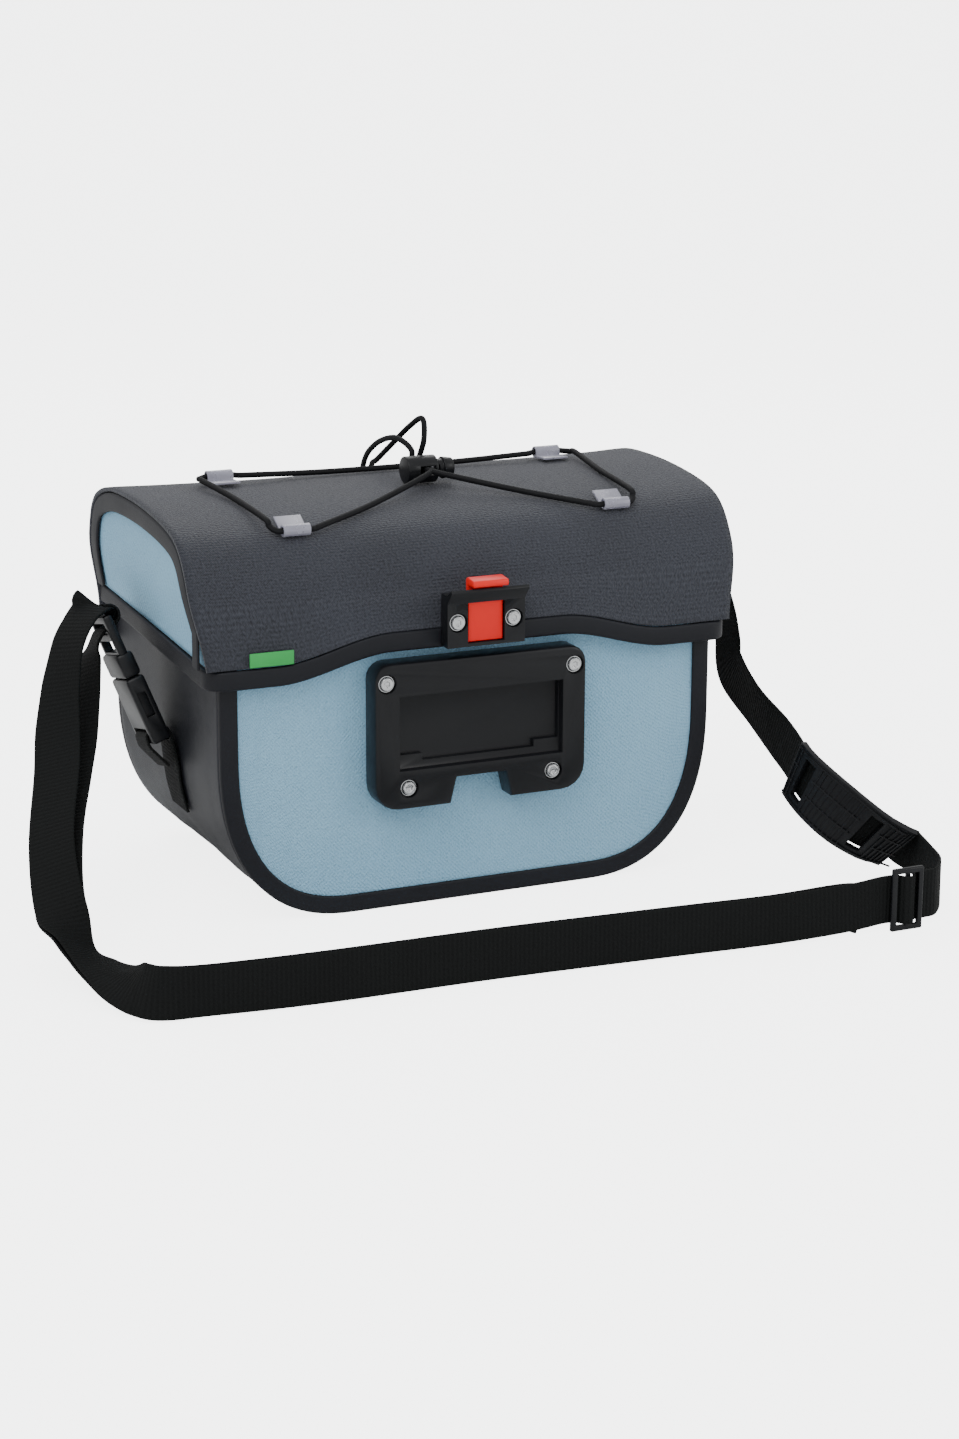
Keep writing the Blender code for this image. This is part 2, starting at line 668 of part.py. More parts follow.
def build_plate(black, steel):
    half = PLATE_WIDTH / 2
    top_r, low_r = PLATE_TOP_RADIUS, PLATE_BOTTOM_RADIUS
    notch, notch_top = NOTCH_WIDTH / 2, NOTCH_TOP_WIDTH / 2
    outline = arc(half - top_r, PLATE_TOP - top_r, top_r, 0, 90)
    outline += arc(-half + top_r, PLATE_TOP - top_r, top_r, 90, 180)
    outline += arc(-half + low_r, PLATE_BOTTOM + low_r, low_r, 180, 270)
    outline += [(-notch, PLATE_BOTTOM), (-notch_top, PLATE_BOTTOM + NOTCH_HEIGHT),
                (notch_top, PLATE_BOTTOM + NOTCH_HEIGHT), (notch, PLATE_BOTTOM)]
    outline += arc(half - low_r, PLATE_BOTTOM + low_r, low_r, 270, 360)

    def plate_point(x, z, side):
        return (x, PLATE_BACK_Y if side else PLATE_FRONT_Y, z)

    plate = prism("mount_plate", outline, plate_point, black, PLATE_EDGE_BEVEL)
    wide = RECESS_WIDTH / 2
    above = PLATE_FRONT_Y - 0.002
    cuts = (
        ("recess_mouth", wide, RECESS_BOTTOM, RECESS_TOP, RECESS_LIP_DEPTH),
        ("recess_floor", wide - 0.0004, RECESS_BOTTOM + RECESS_SIDE_LEDGE,
         RECESS_TOP - 0.0004, RECESS_DEPTH),
        ("recess_step", RECESS_MIDDLE_WIDTH / 2, RECESS_BOTTOM + RECESS_MIDDLE_LEDGE,
         RECESS_BOTTOM + RECESS_SIDE_LEDGE + 0.002, RECESS_DEPTH),
    )
    for name, across, low, high, depth in cuts:
        combine(plate, box(name, (-across, above, low),
                           (across, PLATE_FRONT_Y + depth, high), black))
    rows = (("upper", UPPER_SCREW_SPACING, UPPER_SCREW_HEIGHT),
            ("lower", LOWER_SCREW_SPACING, LOWER_SCREW_HEIGHT))
    for row, spacing, z in rows:
        for side, name in ((-1, "left"), (1, "right")):
            x = side * spacing / 2
            pocket(plate, f"pocket_{row}_{name}", x, z, PLATE_FRONT_Y, black)
            screw(f"plate_screw_{row}_{name}", x, z, PLATE_FRONT_Y, steel)


def build_latch(black, red, steel):
    back = HEM_FRONT_Y - GAP
    front = back - LATCH_THICKNESS
    top = LATCH_BOTTOM + LATCH_HEIGHT
    half = LATCH_WIDTH / 2
    hood_tip = front - HOOD_REACH
    outline = [(back, LATCH_BOTTOM), (front, LATCH_BOTTOM), (front, top - HOOD_HEIGHT * 0.6),
               (hood_tip, top + HOOD_HEIGHT * 0.30), (hood_tip + 0.0008, top + HOOD_HEIGHT * 0.5),
               (front + 0.0012, top), (back, top)]

    def latch_point(y, z, side):
        return (half if side else -half, y, z)

    latch = prism("lid_latch", outline, latch_point, black)
    gap = RELEASE_CLEARANCE
    slide_half = RELEASE_WIDTH / 2
    slide_back = front + 0.0012 + RELEASE_THICKNESS
    low = LATCH_BOTTOM + 0.0015
    combine(latch, box("release_window", (-slide_half - gap, front - 0.01, low),
                       (slide_half + gap, slide_back + gap, top - HOOD_HEIGHT * 0.62), black))
    combine(latch, box("release_channel", (-slide_half - gap, front + 0.0012 - gap, low),
                       (slide_half + gap, slide_back + gap, top + 0.02), black))
    lip_low = top + HOOD_HEIGHT * 0.5 + gap + 0.0002
    outline = [(slide_back, low + gap), (slide_back, lip_low + RELEASE_LIP_HEIGHT * 0.72),
               (slide_back - 0.0016, lip_low + RELEASE_LIP_HEIGHT),
               (slide_back - RELEASE_LIP_REACH, lip_low + RELEASE_LIP_HEIGHT * 0.8),
               (slide_back - RELEASE_LIP_REACH - 0.0006, lip_low + RELEASE_LIP_HEIGHT * 0.3),
               (slide_back - RELEASE_LIP_REACH, lip_low), (front + 0.0012, lip_low),
               (front + 0.0012, low + gap)]

    def release_point(y, z, side):
        return (slide_half if side else -slide_half, y, z)

    release = prism("release", outline, release_point, red)
    set_origin(release, (0, slide_back, low + gap))
    z = LATCH_BOTTOM + LATCH_SCREW_HEIGHT
    for side, name in ((-1, "left"), (1, "right")):
        x = side * LATCH_SCREW_SPACING / 2
        pocket(latch, f"latch_pocket_{name}", x, z, front, black)
        screw(f"latch_screw_{name}", x, z, front, steel)


def hook_frame(x, y):
    """A cord hook's place on the lid: its foot under the eye, slope, up and tilt."""
    tilt = lid_slope(y)
    up = Vector((0.0, -math.sin(tilt), math.cos(tilt)))
    slope = Vector((0.0, math.cos(tilt), math.sin(tilt)))
    foot = Vector((x, y, lid_height(x, y))) + up * GAP * 3
    return foot, slope, up


def build_hook(name, x, y, clear_plastic):
    """A welded tab whose outer end is rolled into an eye for the cord."""
    foot, slope, up = hook_frame(x, y)
    away = 1 if y < 0 else -1
    bore = ELASTIC_DIAMETER / 2 + HOOK_BORE_CLEARANCE
    eye = bore + HOOK_WALL
    outline = [(HOOK_LENGTH - eye, 0.0), (HOOK_LENGTH - eye, HOOK_SLAB), (eye, HOOK_SLAB)]
    outline += [(eye * math.cos(math.radians(a)), eye + eye * math.sin(math.radians(a)))
                for a in range(0, 271, 30)]

    def hook_point(v, w, side):
        shift = HOOK_WIDTH / 2 if side else -HOOK_WIDTH / 2
        return foot + slope * (v * away) + up * w + Vector((shift, 0, 0))

    hook = prism(name, outline, hook_point, clear_plastic)
    middle = foot + up * eye
    reach = Vector((HOOK_WIDTH / 2 + 0.002, 0, 0))
    combine(hook, cylinder(f"{name}_bore", middle - reach, middle + reach, bore,
                           clear_plastic, 12))


def hook_route(x, y):
    """The cord's way into a hook from the outside of the lid and on to the middle."""
    foot, slope, up = hook_frame(x, y)
    outwards = Vector((math.copysign(1, x), 0, 0))
    away = 1 if y < 0 else -1
    middle = foot + up * (ELASTIC_DIAMETER / 2 + HOOK_BORE_CLEARANCE + HOOK_WALL)
    low = up * -0.0004
    turn = ((0.0118, 0.0100), (0.0112, 0.0045), (0.0090, 0.0010), (0.0060, 0.0), (0.0, 0.0),
            (-0.0060, 0.0), (-0.0095, 0.0004), (-0.0150, 0.0026))
    return [middle + outwards * u + slope * (v * away) + (low if v else Vector())
            for u, v in turn]


def above_lid(x, y, lift):
    return Vector((x, y, lid_height(x, y) + lift))


def lock_centre():
    return above_lid(LOCK_X, LOCK_Y, LOCK_RADIUS + 2 * GAP)


def elastic_route():
    """The cord from its knot through the lock, round the four hooks and back."""
    lock = lock_centre()
    left = lock + Vector((-LOCK_STRAND_SPACING / 2, 0, 0))
    right = lock + Vector((LOCK_STRAND_SPACING / 2, 0, 0))
    lift = ELASTIC_DIAMETER / 2 + 2 * GAP
    through = Vector((0, LOCK_RADIUS + 0.0045, 0))
    lid_top_z = LID_BASE + LID_HEIGHT
    route = [Vector((lock.x + x, y, lid_top_z + z)) for x, y, z in EXCESS_LOOP_LEFT[::-1]]
    route += [left + through, left, left - through]
    route += [above_lid(-0.035, -0.0415, lift * 1.4)]
    route += hook_route(-FRONT_HOOK_X, FRONT_HOOK_Y)[::-1]
    route += [above_lid(-0.0945, -0.016, lift)]
    route += hook_route(-BACK_HOOK_X, BACK_HOOK_Y)
    route += [above_lid(-0.030, 0.0275, lift), above_lid(0.030, 0.0275, lift)]
    route += hook_route(BACK_HOOK_X, BACK_HOOK_Y)[::-1]
    route += [above_lid(0.0945, -0.016, lift)]
    route += hook_route(FRONT_HOOK_X, FRONT_HOOK_Y)
    route += [above_lid(0.040, -0.0395, lift * 1.4)]
    route += [right - through, right, right + through]
    route += [Vector((lock.x + x, y, lid_top_z + z)) for x, y, z in EXCESS_LOOP_RIGHT]
    return route


def build_elastic(black, clear_plastic):
    for side, name in ((-1, "left"), (1, "right")):
        build_hook(f"hook_front_{name}", side * FRONT_HOOK_X, FRONT_HOOK_Y, clear_plastic)
        build_hook(f"hook_back_{name}", side * BACK_HOOK_X, BACK_HOOK_Y, clear_plastic)

    points = smooth_route(elastic_route(), 2)
    curve = bpy.data.curves.new("elastic_cord", "CURVE")
    curve.dimensions = "3D"
    curve.bevel_depth = ELASTIC_DIAMETER / 2
    curve.bevel_resolution = 2
    curve.use_fill_caps = True
    spline = curve.splines.new("POLY")
    spline.points.add(len(points) - 1)
    for target, point in zip(spline.points, points):
        target.co = (*point, 1.0)
    curve.materials.append(black)
    cord = bpy.data.objects.new("elastic_cord", curve)
    bpy.context.scene.collection.objects.link(cord)

    middle = (points[0] + points[-1]) / 2
    ball = bmesh.new()
    bmesh.ops.create_icosphere(ball, subdivisions=2, radius=KNOT_RADIUS)
    for vert in ball.verts:
        vert.co.x *= 1.5
    below = (points[0] - points[3]).normalized() * (KNOT_RADIUS + GAP)
    drop = middle + below
    bmesh.ops.translate(ball, verts=ball.verts, vec=drop)
    add_object("cord_knot", ball, black)

    lock = lock_centre()
    slot_half = LOCK_STRAND_SPACING / 2 + ELASTIC_DIAMETER / 2 + LOCK_SLOT_CLEARANCE
    slot_high = ELASTIC_DIAMETER / 2 + LOCK_SLOT_CLEARANCE
    left_end = lock.x - slot_half - LOCK_WALL - PLUNGER_TRAVEL - LOCK_CLEARANCE - 0.001
    right_end = left_end + LOCK_LENGTH + PLUNGER_TRAVEL
    body = cylinder("cord_lock", (left_end, lock.y, lock.z), (right_end, lock.y, lock.z),
                    LOCK_RADIUS, black, 24)
    bore = LOCK_RADIUS - LOCK_WALL
    combine(body, cylinder("lock_bore", (left_end + LOCK_WALL, lock.y, lock.z),
                           (right_end + 0.002, lock.y, lock.z), bore, black, 24))
    reach = LOCK_RADIUS + 0.002
    combine(body, box("lock_slot", (lock.x - slot_half, lock.y - reach, lock.z - slot_high),
                      (lock.x + slot_half, lock.y + reach, lock.z + slot_high), black))

    stem_start = left_end + LOCK_WALL + LOCK_CLEARANCE + PLUNGER_TRAVEL
    neck_end = right_end + PLUNGER_NECK
    stem = cylinder("lock_plunger", (stem_start, lock.y, lock.z), (neck_end, lock.y, lock.z),
                    bore - LOCK_CLEARANCE, black, 20)
    knob = cylinder("plunger_knob", (neck_end - 0.0005, lock.y, lock.z),
                    (neck_end + KNOB_LENGTH, lock.y, lock.z), KNOB_RADIUS, black, 20,
                    KNOB_RADIUS * 0.85)
    combine(stem, knob, "UNION")
    combine(stem, box("plunger_slot", (lock.x - slot_half, lock.y - reach, lock.z - slot_high),
                      (lock.x + slot_half + PLUNGER_TRAVEL, lock.y + reach,
                       lock.z + slot_high), black))
    set_origin(stem, (stem_start, lock.y, lock.z))


def buckle_frame(side):
    """Axes of a buckle: foot, along, across (towards the front) and outwards."""
    foot = Vector((side * (HALF_WIDTH + BUCKLE_FOOT_OUT), BUCKLE_FOOT_Y, BUCKLE_FOOT_Z))
    along = Vector((side * BUCKLE_LEAN_OUT, BUCKLE_LEAN_BACK, BUCKLE_RISE)).normalized()
    across = Vector((0, -1, 0))
    across = (across - along * across.dot(along)).normalized()
    outward = along.cross(across).normalized()
    if outward.x * side < 0:
        outward.negate()
    return foot, along, across, outward


def to_buckle(made, side):
    """Move a shape drawn in a buckle's own axes (across, outward, along) to its place."""
    foot, along, across, outward = buckle_frame(side)
    place = Matrix((
        (across.x, outward.x, along.x, foot.x),
        (across.y, outward.y, along.y, foot.y),
        (across.z, outward.z, along.z, foot.z),
        (0, 0, 0, 1),
    ))
    made.data.transform(place)
    if place.determinant() < 0:
        made.data.flip_normals()
    return made


def bar_place(side):
    """The bar of the ladder that the webbing turns round."""
    foot, along, across, outward = buckle_frame(side)
    top = SOCKET_LENGTH + PLUG_BODY_LENGTH + LADDER_LENGTH - LADDER_BAR / 2
    return foot + along * top


def build_buckle(side, name, black):
    wide, thick = BUCKLE_WIDTH / 2, BUCKLE_THICKNESS / 2
    socket = to_buckle(box(f"buckle_socket_{name}", (-wide, -thick, 0.0),
                           (wide, thick, SOCKET_LENGTH), black, 0.0016), side)
    mouth_low = FOOT_BAR + FOOT_SLOT + 0.0035
    mouth = to_buckle(box(f"socket_mouth_{name}",
                          (-wide + SOCKET_WALL, -thick + SOCKET_WALL, mouth_low),
                          (wide - SOCKET_WALL, thick - SOCKET_WALL, SOCKET_LENGTH + 0.01),
                          black), side)
    slot = to_buckle(box(f"socket_slot_{name}",
                         (-STRAP_WIDTH / 2 - 0.001, -thick - 0.002, FOOT_BAR),
                         (STRAP_WIDTH / 2 + 0.001, thick + 0.002, FOOT_BAR + FOOT_SLOT),
                         black), side)
    for tool in (mouth, slot):
        combine(socket, tool)
    for k in (-1, 1):
        window = to_buckle(box(f"socket_window_{name}_{k}",
                               (k * (wide - 0.006) if k > 0 else -wide - 0.002, -thick + 0.0026,
                                SOCKET_LENGTH - 0.020),
                               (wide + 0.002 if k > 0 else -(wide - 0.006), thick - 0.0026,
                                SOCKET_LENGTH - 0.008), black), side)
        combine(socket, window)

    start = SOCKET_LENGTH + GAP
    body_end = start + PLUG_BODY_LENGTH
    end = body_end + LADDER_LENGTH
    thin = LADDER_THICKNESS / 2
    plug = to_buckle(box(f"buckle_plug_{name}", (-wide, -thick * 0.92, start),
                         (wide, thick * 0.92, body_end), black, 0.0018), side)
    ladder = to_buckle(box(f"plug_ladder_{name}", (-wide, -thin, body_end - 0.001),
                           (wide, thin, end), black, 0.0010), side)
    combine(plug, ladder, "UNION")
    inner = wide - SOCKET_WALL - LOCK_CLEARANCE
    for k in (-1, 1):
        low = k * inner if k < 0 else inner - PRONG_WIDTH
        prong = to_buckle(box(f"plug_prong_{name}_{k}",
                              (low, -PRONG_THICKNESS / 2, start - PRONG_LENGTH),
                              (low + PRONG_WIDTH, PRONG_THICKNESS / 2, start + 0.003), black),
                          side)
        combine(plug, prong, "UNION")
    guide = to_buckle(box(f"plug_guide_{name}", (-0.0016, -0.0020, start - PRONG_LENGTH * 0.8),
                          (0.0016, 0.0020, start + 0.003), black), side)
    combine(plug, guide, "UNION")
    opening = (LADDER_LENGTH - 2 * LADDER_BAR - 0.001) / 2
    for k in (0, 1):
        low = body_end + 0.001 + k * (opening + LADDER_BAR)
        slit = to_buckle(box(f"ladder_slit_{name}_{k}", (-STRAP_WIDTH / 2 - 0.001, -0.01, low),
                             (STRAP_WIDTH / 2 + 0.001, 0.01, low + opening), black), side)
        combine(plug, slit)


def ribbon(name, rows, steps, material, width=STRAP_WIDTH, thickness=STRAP_THICKNESS):
    """Webbing along rows of (centre, direction of its width)."""
    centres = smooth_route([row[0] for row in rows], steps)
    widths = smooth_route([row[1].normalized() for row in rows], steps)
    rings = []
    last = len(centres) - 1
    for i, (centre, across) in enumerate(zip(centres, widths)):
        ahead = centres[min(i + 1, last)] - centres[max(i - 1, 0)]
        ahead.normalize()
        across = (across - ahead * across.dot(ahead)).normalized()
        face = ahead.cross(across).normalized() * thickness / 2
        edge = across * width / 2
        rings.append([centre - edge - face, centre + edge - face,
                      centre + edge + face, centre - edge + face])
    return loft(name, rings, material)


def strap_rows(table, side):
    """A strap table's rows as centres and width directions."""
    bar = bar_place(side)
    fore_end = -STRAP_FORE
    rows = []
    for out, fore, up, wide_x, wide_y, wide_z in table:
        centre = Vector((bar.x + side * out * STRAP_OUT, bar.y + fore * (fore_end - bar.y),
                         up * bar.z))
        rows.append((centre, Vector((-side * wide_x if side < 0 else wide_x, wide_y, wide_z))))
    return rows


def slider_rows():
    """The webbing's way behind the side bars and over the middle bar of the slider."""
    step = SLIDER_THICKNESS / 2 + STRAP_THICKNESS / 2 + GAP * 1.5
    middle_z = SLIDER_HEIGHT / 2
    rows = []
    for along, across in SLIDER_WEAVE:
        centre = Vector((SLIDER_X + along * SLIDER_WIDTH / 2, -STRAP_FORE - across * step,
                         middle_z))
        rows.append((centre, Vector((0, 0, 1))))
    return rows


def wrap_rows(side):
    """The webbing round the buckle's bar, from the strap's long side to its end."""
    foot, along, across, outward = buckle_frame(side)
    bar = bar_place(side)
    return [(bar + outward * out + along * up, across) for out, up in BAR_WRAP]


def moved_rows(rows, distance):
    """Rows of webbing shifted square to its face."""
    shifted = []
    last = len(rows) - 1
    for i, (centre, across) in enumerate(rows):
        ahead = (rows[min(i + 1, last)][0] - rows[max(i - 1, 0)][0]).normalized()
        face = ahead.cross(across.normalized()).normalized()
        shifted.append((centre + face * distance, across))
    return shifted


def build_strap(black, pad_black, plastic):
    bar = bar_place(-1)
    floor_rows = []
    for along, fore, up in FLOOR_RUN:
        centre = Vector((along * SLIDER_X, bar.y + fore * (-STRAP_FORE - bar.y), up * bar.z))
        floor_rows.append((centre, Vector((0, 0, 1))))
    left = strap_rows(LEFT_STRAP, -1)
    right = strap_rows(RIGHT_STRAP, 1)
    front_rows = left + floor_rows
    behind = moved_rows(front_rows, -SECOND_LAYER_OFFSET)[SECOND_LAYER_JOINS:]
    behind.append((Vector((SLIDER_X - SLIDER_WIDTH * 1.3, -STRAP_FORE + 0.0030,
                           STRAP_WIDTH / 2)), Vector((0, 0, 1))))
    route = behind[::-1] + strap_rows(SECOND_LAYER, -1)[::-1] + wrap_rows(-1)[::-1]
    route += front_rows + slider_rows() + right + wrap_rows(1)
    ribbon("strap", route, STRAP_STEPS, black)

    wide, tall, thick = SLIDER_WIDTH / 2, SLIDER_HEIGHT / 2, SLIDER_THICKNESS / 2
    slider = box("strap_slider", (SLIDER_X - wide, -STRAP_FORE - thick, 0.0),
                 (SLIDER_X + wide, -STRAP_FORE + thick, SLIDER_HEIGHT), plastic, 0.0007)
    inner = wide - SLIDER_SIDE_BAR
    middle = SLIDER_MIDDLE_BAR / 2
    for k, (low, high) in enumerate(((-inner, -middle), (middle, inner))):
        combine(slider, box(f"slider_window_{k}",
                            (SLIDER_X + low, -STRAP_FORE - 0.01, SLIDER_RAIL),
                            (SLIDER_X + high, -STRAP_FORE + 0.01, SLIDER_HEIGHT - SLIDER_RAIL),
                            plastic))

    lift = STRAP_THICKNESS / 2 + PAD_THICKNESS / 2 + GAP * 3
    fine = list(zip(smooth_route([row[0] for row in right], STRAP_STEPS),
                    smooth_route([row[1].normalized() for row in right], STRAP_STEPS)))
    pad_rows = moved_rows(fine, -lift)[PAD_FIRST:PAD_LAST + 1]
    pad = ribbon("shoulder_pad", pad_rows, 1, pad_black, PAD_WIDTH, PAD_THICKNESS)
    for k, at in enumerate(PAD_SLOTS):
        middle, across = pad_rows[at]
        ahead = (pad_rows[at + 1][0] - pad_rows[at - 1][0]).normalized()
        across = (across - ahead * across.dot(ahead)).normalized()
        face = ahead.cross(across).normalized()
        tool = box(f"pad_slot_{k}", (-PAD_SLOT_LENGTH / 2, -PAD_SLOT_WIDTH / 2, -0.006),
                   (PAD_SLOT_LENGTH / 2, PAD_SLOT_WIDTH / 2, 0.006), pad_black)
        tool.data.transform(Matrix((
            (ahead.x, across.x, face.x, middle.x),
            (ahead.y, across.y, face.y, middle.y),
            (ahead.z, across.z, face.z, middle.z),
            (0, 0, 0, 1),
        )))
        combine(pad, tool)


def build_anchor(side, name, black):
    """Webbing sewn to the gusset, looped through the foot of the buckle's socket."""
    foot, along, across, outward = buckle_frame(side)
    sewn = []
    for share in ANCHOR_ROWS:
        z = foot.z - ANCHOR_LENGTH * share
        dent = ANCHOR_DENT * dent_share(z)
        x = body_half_width(z) - dent + GAP + STRAP_THICKNESS / 2
        sewn.append(Vector((side * x, foot.y, z)))
    clear = BUCKLE_THICKNESS / 2 + STRAP_THICKNESS / 2 + GAP
    middle = FOOT_BAR + FOOT_SLOT / 2
    loop = (
        (-clear, -0.001), (-clear, FOOT_BAR - 0.001), (-clear + 0.0005, middle - 0.0012),
        (-clear + 0.0019, middle - 0.0001), (-clear + 0.0039, middle),
        (clear - 0.0039, middle), (clear - 0.0019, middle - 0.0001),
        (clear - 0.0005, middle - 0.0012), (clear, FOOT_BAR - 0.001), (clear, -0.001),
        (clear * 0.55, -0.0075), (clear * 0.2, -0.0125),
    )
    rows = [(point, Vector((0, -1, 0))) for point in sewn]
    rows += [(foot + outward * out + along * up, across) for out, up in loop]
    ribbon(f"buckle_anchor_{name}", rows, 2, black)


def main():
    clear_scene()
    blue = finish("light_blue_fabric", (0.30, 0.47, 0.60), 0.75)
    dark = finish("dark_coated_fabric", (0.035, 0.038, 0.046), 0.55)
    twill = finish("dark_twill_fabric", (0.050, 0.053, 0.062), 0.80)
    black = finish("black_plastic", (0.018, 0.020, 0.022), 0.40)
    red = finish("red_plastic", (0.80, 0.045, 0.035), 0.40)
    green = finish("green_tape", (0.09, 0.42, 0.12), 0.70)
    steel = finish("stainless_steel", (0.70, 0.71, 0.72), 0.20, 1.0)
    webbing = finish("black_webbing", (0.012, 0.013, 0.014), 0.80)
    elastic = finish("black_elastic", (0.014, 0.015, 0.017), 0.75)
    clear_plastic = finish("pale_clear_plastic", (0.34, 0.34, 0.42), 0.30)
    rubber = finish("black_rubber", (0.025, 0.028, 0.031), 0.60)

    build_body(blue, dark)
    build_lid(blue, twill, dark, green)
    build_plate(black, steel)
    build_latch(black, red, steel)
    build_elastic(elastic, clear_plastic)
    for side, name in ((-1, "left"), (1, "right")):
        build_buckle(side, name, black)
        build_anchor(side, name, webbing)
    build_strap(webbing, rubber, black)


main()
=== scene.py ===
"""Looks of a bicycle handlebar bag: its cloth, webbing, cord, moulded parts and finishes.

Metres, +Z up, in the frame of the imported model. The bag stands on its base, the mounting
plate faces -Y, and +X is to the right of someone who looks at that plate.
"""

import math

import bmesh
import bpy
from mathutils import Matrix, Vector, noise


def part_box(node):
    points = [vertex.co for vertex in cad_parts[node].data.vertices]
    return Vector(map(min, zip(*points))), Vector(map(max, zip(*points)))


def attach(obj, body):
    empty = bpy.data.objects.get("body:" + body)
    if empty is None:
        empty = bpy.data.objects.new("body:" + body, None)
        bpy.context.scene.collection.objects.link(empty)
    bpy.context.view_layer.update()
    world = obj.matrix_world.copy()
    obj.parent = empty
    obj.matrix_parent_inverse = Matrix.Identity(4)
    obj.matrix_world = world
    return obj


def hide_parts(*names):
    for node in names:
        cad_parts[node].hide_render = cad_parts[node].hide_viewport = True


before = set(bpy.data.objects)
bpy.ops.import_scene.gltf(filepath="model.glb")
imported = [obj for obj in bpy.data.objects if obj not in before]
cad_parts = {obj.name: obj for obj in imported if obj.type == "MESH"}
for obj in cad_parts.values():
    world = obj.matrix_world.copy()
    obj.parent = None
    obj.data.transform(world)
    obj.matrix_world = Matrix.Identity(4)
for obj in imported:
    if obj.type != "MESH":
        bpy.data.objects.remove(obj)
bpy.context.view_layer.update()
bpy.ops.object.select_all(action="DESELECT")

# Camera: a long studio lens at the height of a table, in front and to the left of the bag.
# The picture is upright, so the lens is set by the height of its frame.
camera_data = bpy.data.cameras.new("studio_camera")
camera_data.sensor_fit = "VERTICAL"
camera_data.sensor_height = 36.0
camera_data.lens = 72.62
camera_data.clip_end = 60.0
camera = bpy.data.objects.new("studio_camera", camera_data)
bpy.context.collection.objects.link(camera)
camera.matrix_world = Matrix((
    (0.91060, 0.10527, -0.39965, -0.5390),
    (-0.41327, 0.24007, -0.87839, -1.2688),
    (0.00347, 0.96503, 0.26211, 0.4417),
    (0.0, 0.0, 0.0, 1.0),
))
bpy.context.scene.camera = camera

# Light: a bright white room, one large soft box above and to the left, a smaller one on the
# right for the glints on the plastic, and one behind that draws the lid's rear edge.
ROOM_LIGHT = 0.80
world = bpy.data.worlds.new("white_room")
world.use_nodes = True
world.node_tree.nodes["Background"].inputs["Color"].default_value = (1.0, 1.0, 1.0, 1.0)
world.node_tree.nodes["Background"].inputs["Strength"].default_value = ROOM_LIGHT
bpy.context.scene.world = world
LIGHT_TARGET = Vector((0, 0, 0.08))
# Place, length of a side, power
SOFT_BOXES = (
    ("box_above", (-0.9, -0.9, 1.7), 1.3, 15.0),
    ("box_right", (1.3, -1.2, 0.9), 0.7, 5.0),
    ("box_behind", (0.5, 1.2, 1.2), 0.8, 6.0),
)
for name, place, size, power in SOFT_BOXES:
    light = bpy.data.lights.new(name, "AREA")
    light.shape = "SQUARE"
    light.size = size
    light.energy = power
    lamp = bpy.data.objects.new(name, light)
    bpy.context.collection.objects.link(lamp)
    lamp.location = place
    away = Vector(place) - LIGHT_TARGET
    lamp.rotation_euler = away.to_track_quat("Z", "Y").to_euler()

# Floor: a seamless sheet of pale studio paper, laid a hair under the bag. It belongs to the
# stage and not to the part.
FLOOR_SIZE = 60.0
FLOOR_DROP = 0.0002
PAPER_GLOW = 4.2
bpy.ops.mesh.primitive_plane_add(size=FLOOR_SIZE, location=(0, 0, -FLOOR_DROP))
floor = bpy.context.active_object
floor.name = "paper_floor"
paper = bpy.data.materials.new("pale_paper")
paper.use_nodes = True
paper_shader = paper.node_tree.nodes["Principled BSDF"]
paper_shader.inputs["Base Color"].default_value = (0.86, 0.865, 0.865, 1.0)
paper_shader.inputs["Roughness"].default_value = 0.9
paper_shader.inputs["Specular IOR Level"].default_value = 0.1
# The paper glows for the camera alone, so that it stays near white
paper_view = paper.node_tree.nodes.new("ShaderNodeLightPath")
paper_glow = paper.node_tree.nodes.new("ShaderNodeMath")
paper_glow.operation = "MULTIPLY"
paper_glow.inputs[1].default_value = PAPER_GLOW
paper.node_tree.links.new(paper_view.outputs["Is Camera Ray"], paper_glow.inputs[0])
paper.node_tree.links.new(paper_glow.outputs[0], paper_shader.inputs["Emission Strength"])
paper_shader.inputs["Emission Color"].default_value = (0.97, 0.98, 0.98, 1.0)
floor.data.materials.append(paper)

# Body cloth. The gusset is one strip of coated fabric that runs down one side, under the
# base and up the other; the thread pattern of all the cloth comes from one node group.
BODY_WIDTH = 0.249
BODY_DEPTH = 0.154
BODY_HEIGHT = 0.126
BODY_CORNER_WIDTH = 0.0645
BODY_CORNER_HEIGHT = 0.080
BODY_CORNER_POWER = 2.4
CLOTH = 0.002
GAP = 0.0003
BORDER_WIDTH = 0.0085
BORDER_THICKNESS = 0.0012
HALF_WIDTH = BODY_WIDTH / 2
PANEL_FACE = BORDER_THICKNESS + GAP
SIDE_STEPS = 22
CORNER_STEPS = 26
BASE_STEPS = 36
GUSSET_ROWS = 54
FOLD_DEPTH = 0.0009
FOLD_OUT = -0.2
FOLD_SCALE = (9.0, 26.0, 17.0)
FOLD_RISE = 3
DENTS_FROM = 0.05
MIDDLE_FROM = 0.25
LOWER_TO = 0.30
# Soft dents: depth share, pull inwards at mid height, pull at the lower corner
GUSSET_DENTS = (
    (0.00, 0.0000, 0.0000), (0.12, 0.0008, 0.0004), (0.30, 0.0021, -0.0006),
    (0.50, 0.0015, -0.0014), (0.70, 0.0022, -0.0010), (0.88, 0.0009, 0.0002),
    (1.00, 0.0000, 0.0000),
)


